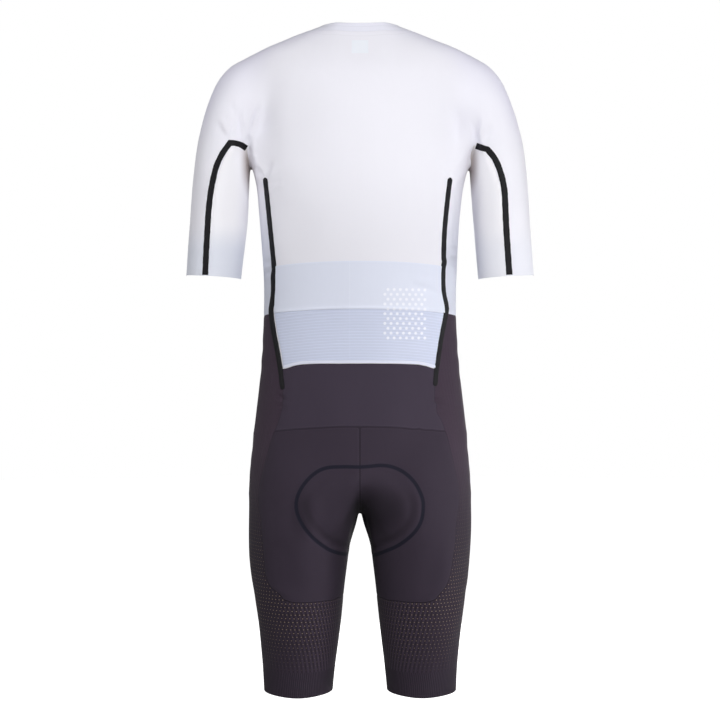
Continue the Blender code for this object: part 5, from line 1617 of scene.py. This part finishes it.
class SkinsuitColours(bpy.types.PropertyGroup):
    """The colours that a user would change."""

    white_jersey: colour_setting("White jersey", "Back and fronts", (242, 241, 249))
    under_sleeve_jersey: colour_setting("Under sleeves", "Inner half of each sleeve", (248, 247, 252))
    cuff_tint: colour_setting("Cuff tint", "The sleeves' lower ends", (226, 229, 240))
    pale_blue_jersey: colour_setting("Side panels", "The pale blue sides", (211, 214, 227))
    collar_jersey: colour_setting("Collar", "The low neck band", (234, 234, 246))
    pocket_band: colour_setting("Pocket band", "The pocket's plain upper band", (218, 222, 237))
    pocket_ribs: colour_setting("Pocket ribs", "The pocket's ribbed lower part", (198, 204, 225))
    pocket_edge: colour_setting("Pocket edge", "The binding under the pocket", (228, 231, 247))
    pocket_dots: colour_setting("Pocket dots", "The small grid on the pocket", (240, 241, 250))
    armpit_shade: colour_setting("Armpit shade", "The warm shade inside the armpits", (150, 132, 122))
    label: colour_setting("Label", "The bare patch under the collar", (243, 246, 255))
    bonded_tape: colour_setting("Tapes", "The bonded tapes", (18, 17, 21))
    waist_jersey: colour_setting("Waist", "The plain dark panel", (62, 54, 67))
    seat_jersey: colour_setting("Seat", "Seat and front leg panels", (56, 48, 60))
    pad_line: colour_setting("Pad line", "The line round the pad", (30, 29, 42))
    dotted_knit: colour_setting("Dotted knit", "Sides and lower legs", (49, 41, 52))
    open_dots: colour_setting("Open dots", "The knit's small dots", (140, 122, 112))
    hem_ribs: colour_setting("Leg hems", "The ribbed bands", (47, 40, 50))
    pad_foam: colour_setting("Pad", "The pad inside the seat", (38, 35, 41))
    zip_strip: colour_setting("Zip strip", "The woven strip of the zip", (232, 232, 240))
    zip_teeth: colour_setting("Zip teeth", "The closed front zip", (205, 207, 215))
    zip_metal: colour_setting("Zip metal", "Slider and pull", (178, 180, 188))


# ---------------------------------------------------------------- operators


class SKINSUIT_OT_jersey(bpy.types.Operator):
    """Makes the white and pale blue jersey panels and the collar"""

    bl_idname = "skinsuit.jersey"
    bl_label = "Jersey panels"

    def execute(self, context):
        for panel in JERSEY_PANELS:
            make_panel(panel)
        return {"FINISHED"}


class SKINSUIT_OT_dark_panels(bpy.types.Operator):
    """Makes the dark waist, seat and front leg panels"""

    bl_idname = "skinsuit.dark_panels"
    bl_label = "Dark panels"

    def execute(self, context):
        for panel in DARK_PANELS:
            make_panel(panel)
        return {"FINISHED"}


class SKINSUIT_OT_dotted_sides(bpy.types.Operator):
    """Makes the dotted knit down the sides and round the lower legs"""

    bl_idname = "skinsuit.dotted_sides"
    bl_label = "Dotted sides"

    def execute(self, context):
        for panel in DOTTED_PANELS:
            make_panel(panel)
        return {"FINISHED"}


class SKINSUIT_OT_leg_hems(bpy.types.Operator):
    """Makes the ribbed bands round the leg ends"""

    bl_idname = "skinsuit.leg_hems"
    bl_label = "Leg hems"

    def execute(self, context):
        for panel in HEM_PANELS:
            make_panel(panel)
        return {"FINISHED"}


class SKINSUIT_OT_pocket(bpy.types.Operator):
    """Makes the pocket's band, ribs and edge"""

    bl_idname = "skinsuit.pocket"
    bl_label = "Pocket"

    def execute(self, context):
        band, ribs, edge = POCKET_LAYERS
        make_layer(band, band_fold)
        make_layer(ribs, rib_height, lengthen_ribs)
        make_layer(edge, None, narrow_hem)
        return {"FINISHED"}


class SKINSUIT_OT_label(bpy.types.Operator):
    """Makes the bare patch under the collar"""

    bl_idname = "skinsuit.label"
    bl_label = "Label patch"

    def execute(self, context):
        make_layer(LABEL_LAYER)
        return {"FINISHED"}


class SKINSUIT_OT_tapes(bpy.types.Operator):
    """Makes the four bonded tapes"""

    bl_idname = "skinsuit.tapes"
    bl_label = "Bonded tapes"

    def execute(self, context):
        for tape in TAPES:
            make_tape(tape)
        return {"FINISHED"}


class SKINSUIT_OT_pad(bpy.types.Operator):
    """Makes the pad inside the seat"""

    bl_idname = "skinsuit.pad"
    bl_label = "Seat pad"

    def execute(self, context):
        make_pad()
        return {"FINISHED"}


class SKINSUIT_OT_zip(bpy.types.Operator):
    """Makes the front zip's chain and finishes its slider and pull"""

    bl_idname = "skinsuit.zip"
    bl_label = "Front zip"

    def execute(self, context):
        make_zip()
        for node in ("zip_slider", "zip_pull"):
            thing = frame["nodes"][node]
            thing.data.materials.clear()
            thing.data.materials.append(finish("zip_metal"))
        return {"FINISHED"}


class SKINSUIT_OT_stage(bpy.types.Operator):
    """Sets the floor, the light and the camera"""

    bl_idname = "skinsuit.stage"
    bl_label = "Stage"

    def execute(self, context):
        make_stage()
        return {"FINISHED"}


OPERATORS = (
    SKINSUIT_OT_jersey,
    SKINSUIT_OT_dark_panels,
    SKINSUIT_OT_dotted_sides,
    SKINSUIT_OT_leg_hems,
    SKINSUIT_OT_pocket,
    SKINSUIT_OT_label,
    SKINSUIT_OT_tapes,
    SKINSUIT_OT_pad,
    SKINSUIT_OT_zip,
    SKINSUIT_OT_stage,
)


class SKINSUIT_PT_panel(bpy.types.Panel):
    """The skinsuit's makers, in the sidebar"""

    bl_idname = "SKINSUIT_PT_panel"
    bl_label = "Cycling skinsuit"
    bl_space_type = "VIEW_3D"
    bl_region_type = "UI"
    bl_category = "Skinsuit"

    def draw(self, context):
        for settings in (context.scene.skinsuit_sizes, context.scene.skinsuit_colours):
            for name in settings.__annotations__:
                self.layout.prop(settings, name)
        for operator in OPERATORS:
            self.layout.operator(operator.bl_idname)


CLASSES = (SkinsuitSizes, SkinsuitColours, *OPERATORS, SKINSUIT_PT_panel)


def register():
    for part in CLASSES:
        bpy.utils.register_class(part)
    bpy.types.Scene.skinsuit_sizes = bpy.props.PointerProperty(type=SkinsuitSizes)
    bpy.types.Scene.skinsuit_colours = bpy.props.PointerProperty(type=SkinsuitColours)


def unregister():
    del bpy.types.Scene.skinsuit_colours
    del bpy.types.Scene.skinsuit_sizes
    for part in reversed(CLASSES):
        bpy.utils.unregister_class(part)


def main():
    """Makes every piece."""
    register()
    for operator in OPERATORS:
        getattr(bpy.ops.skinsuit, operator.bl_idname.split(".")[1])()


if __name__ == "__main__":
    main()
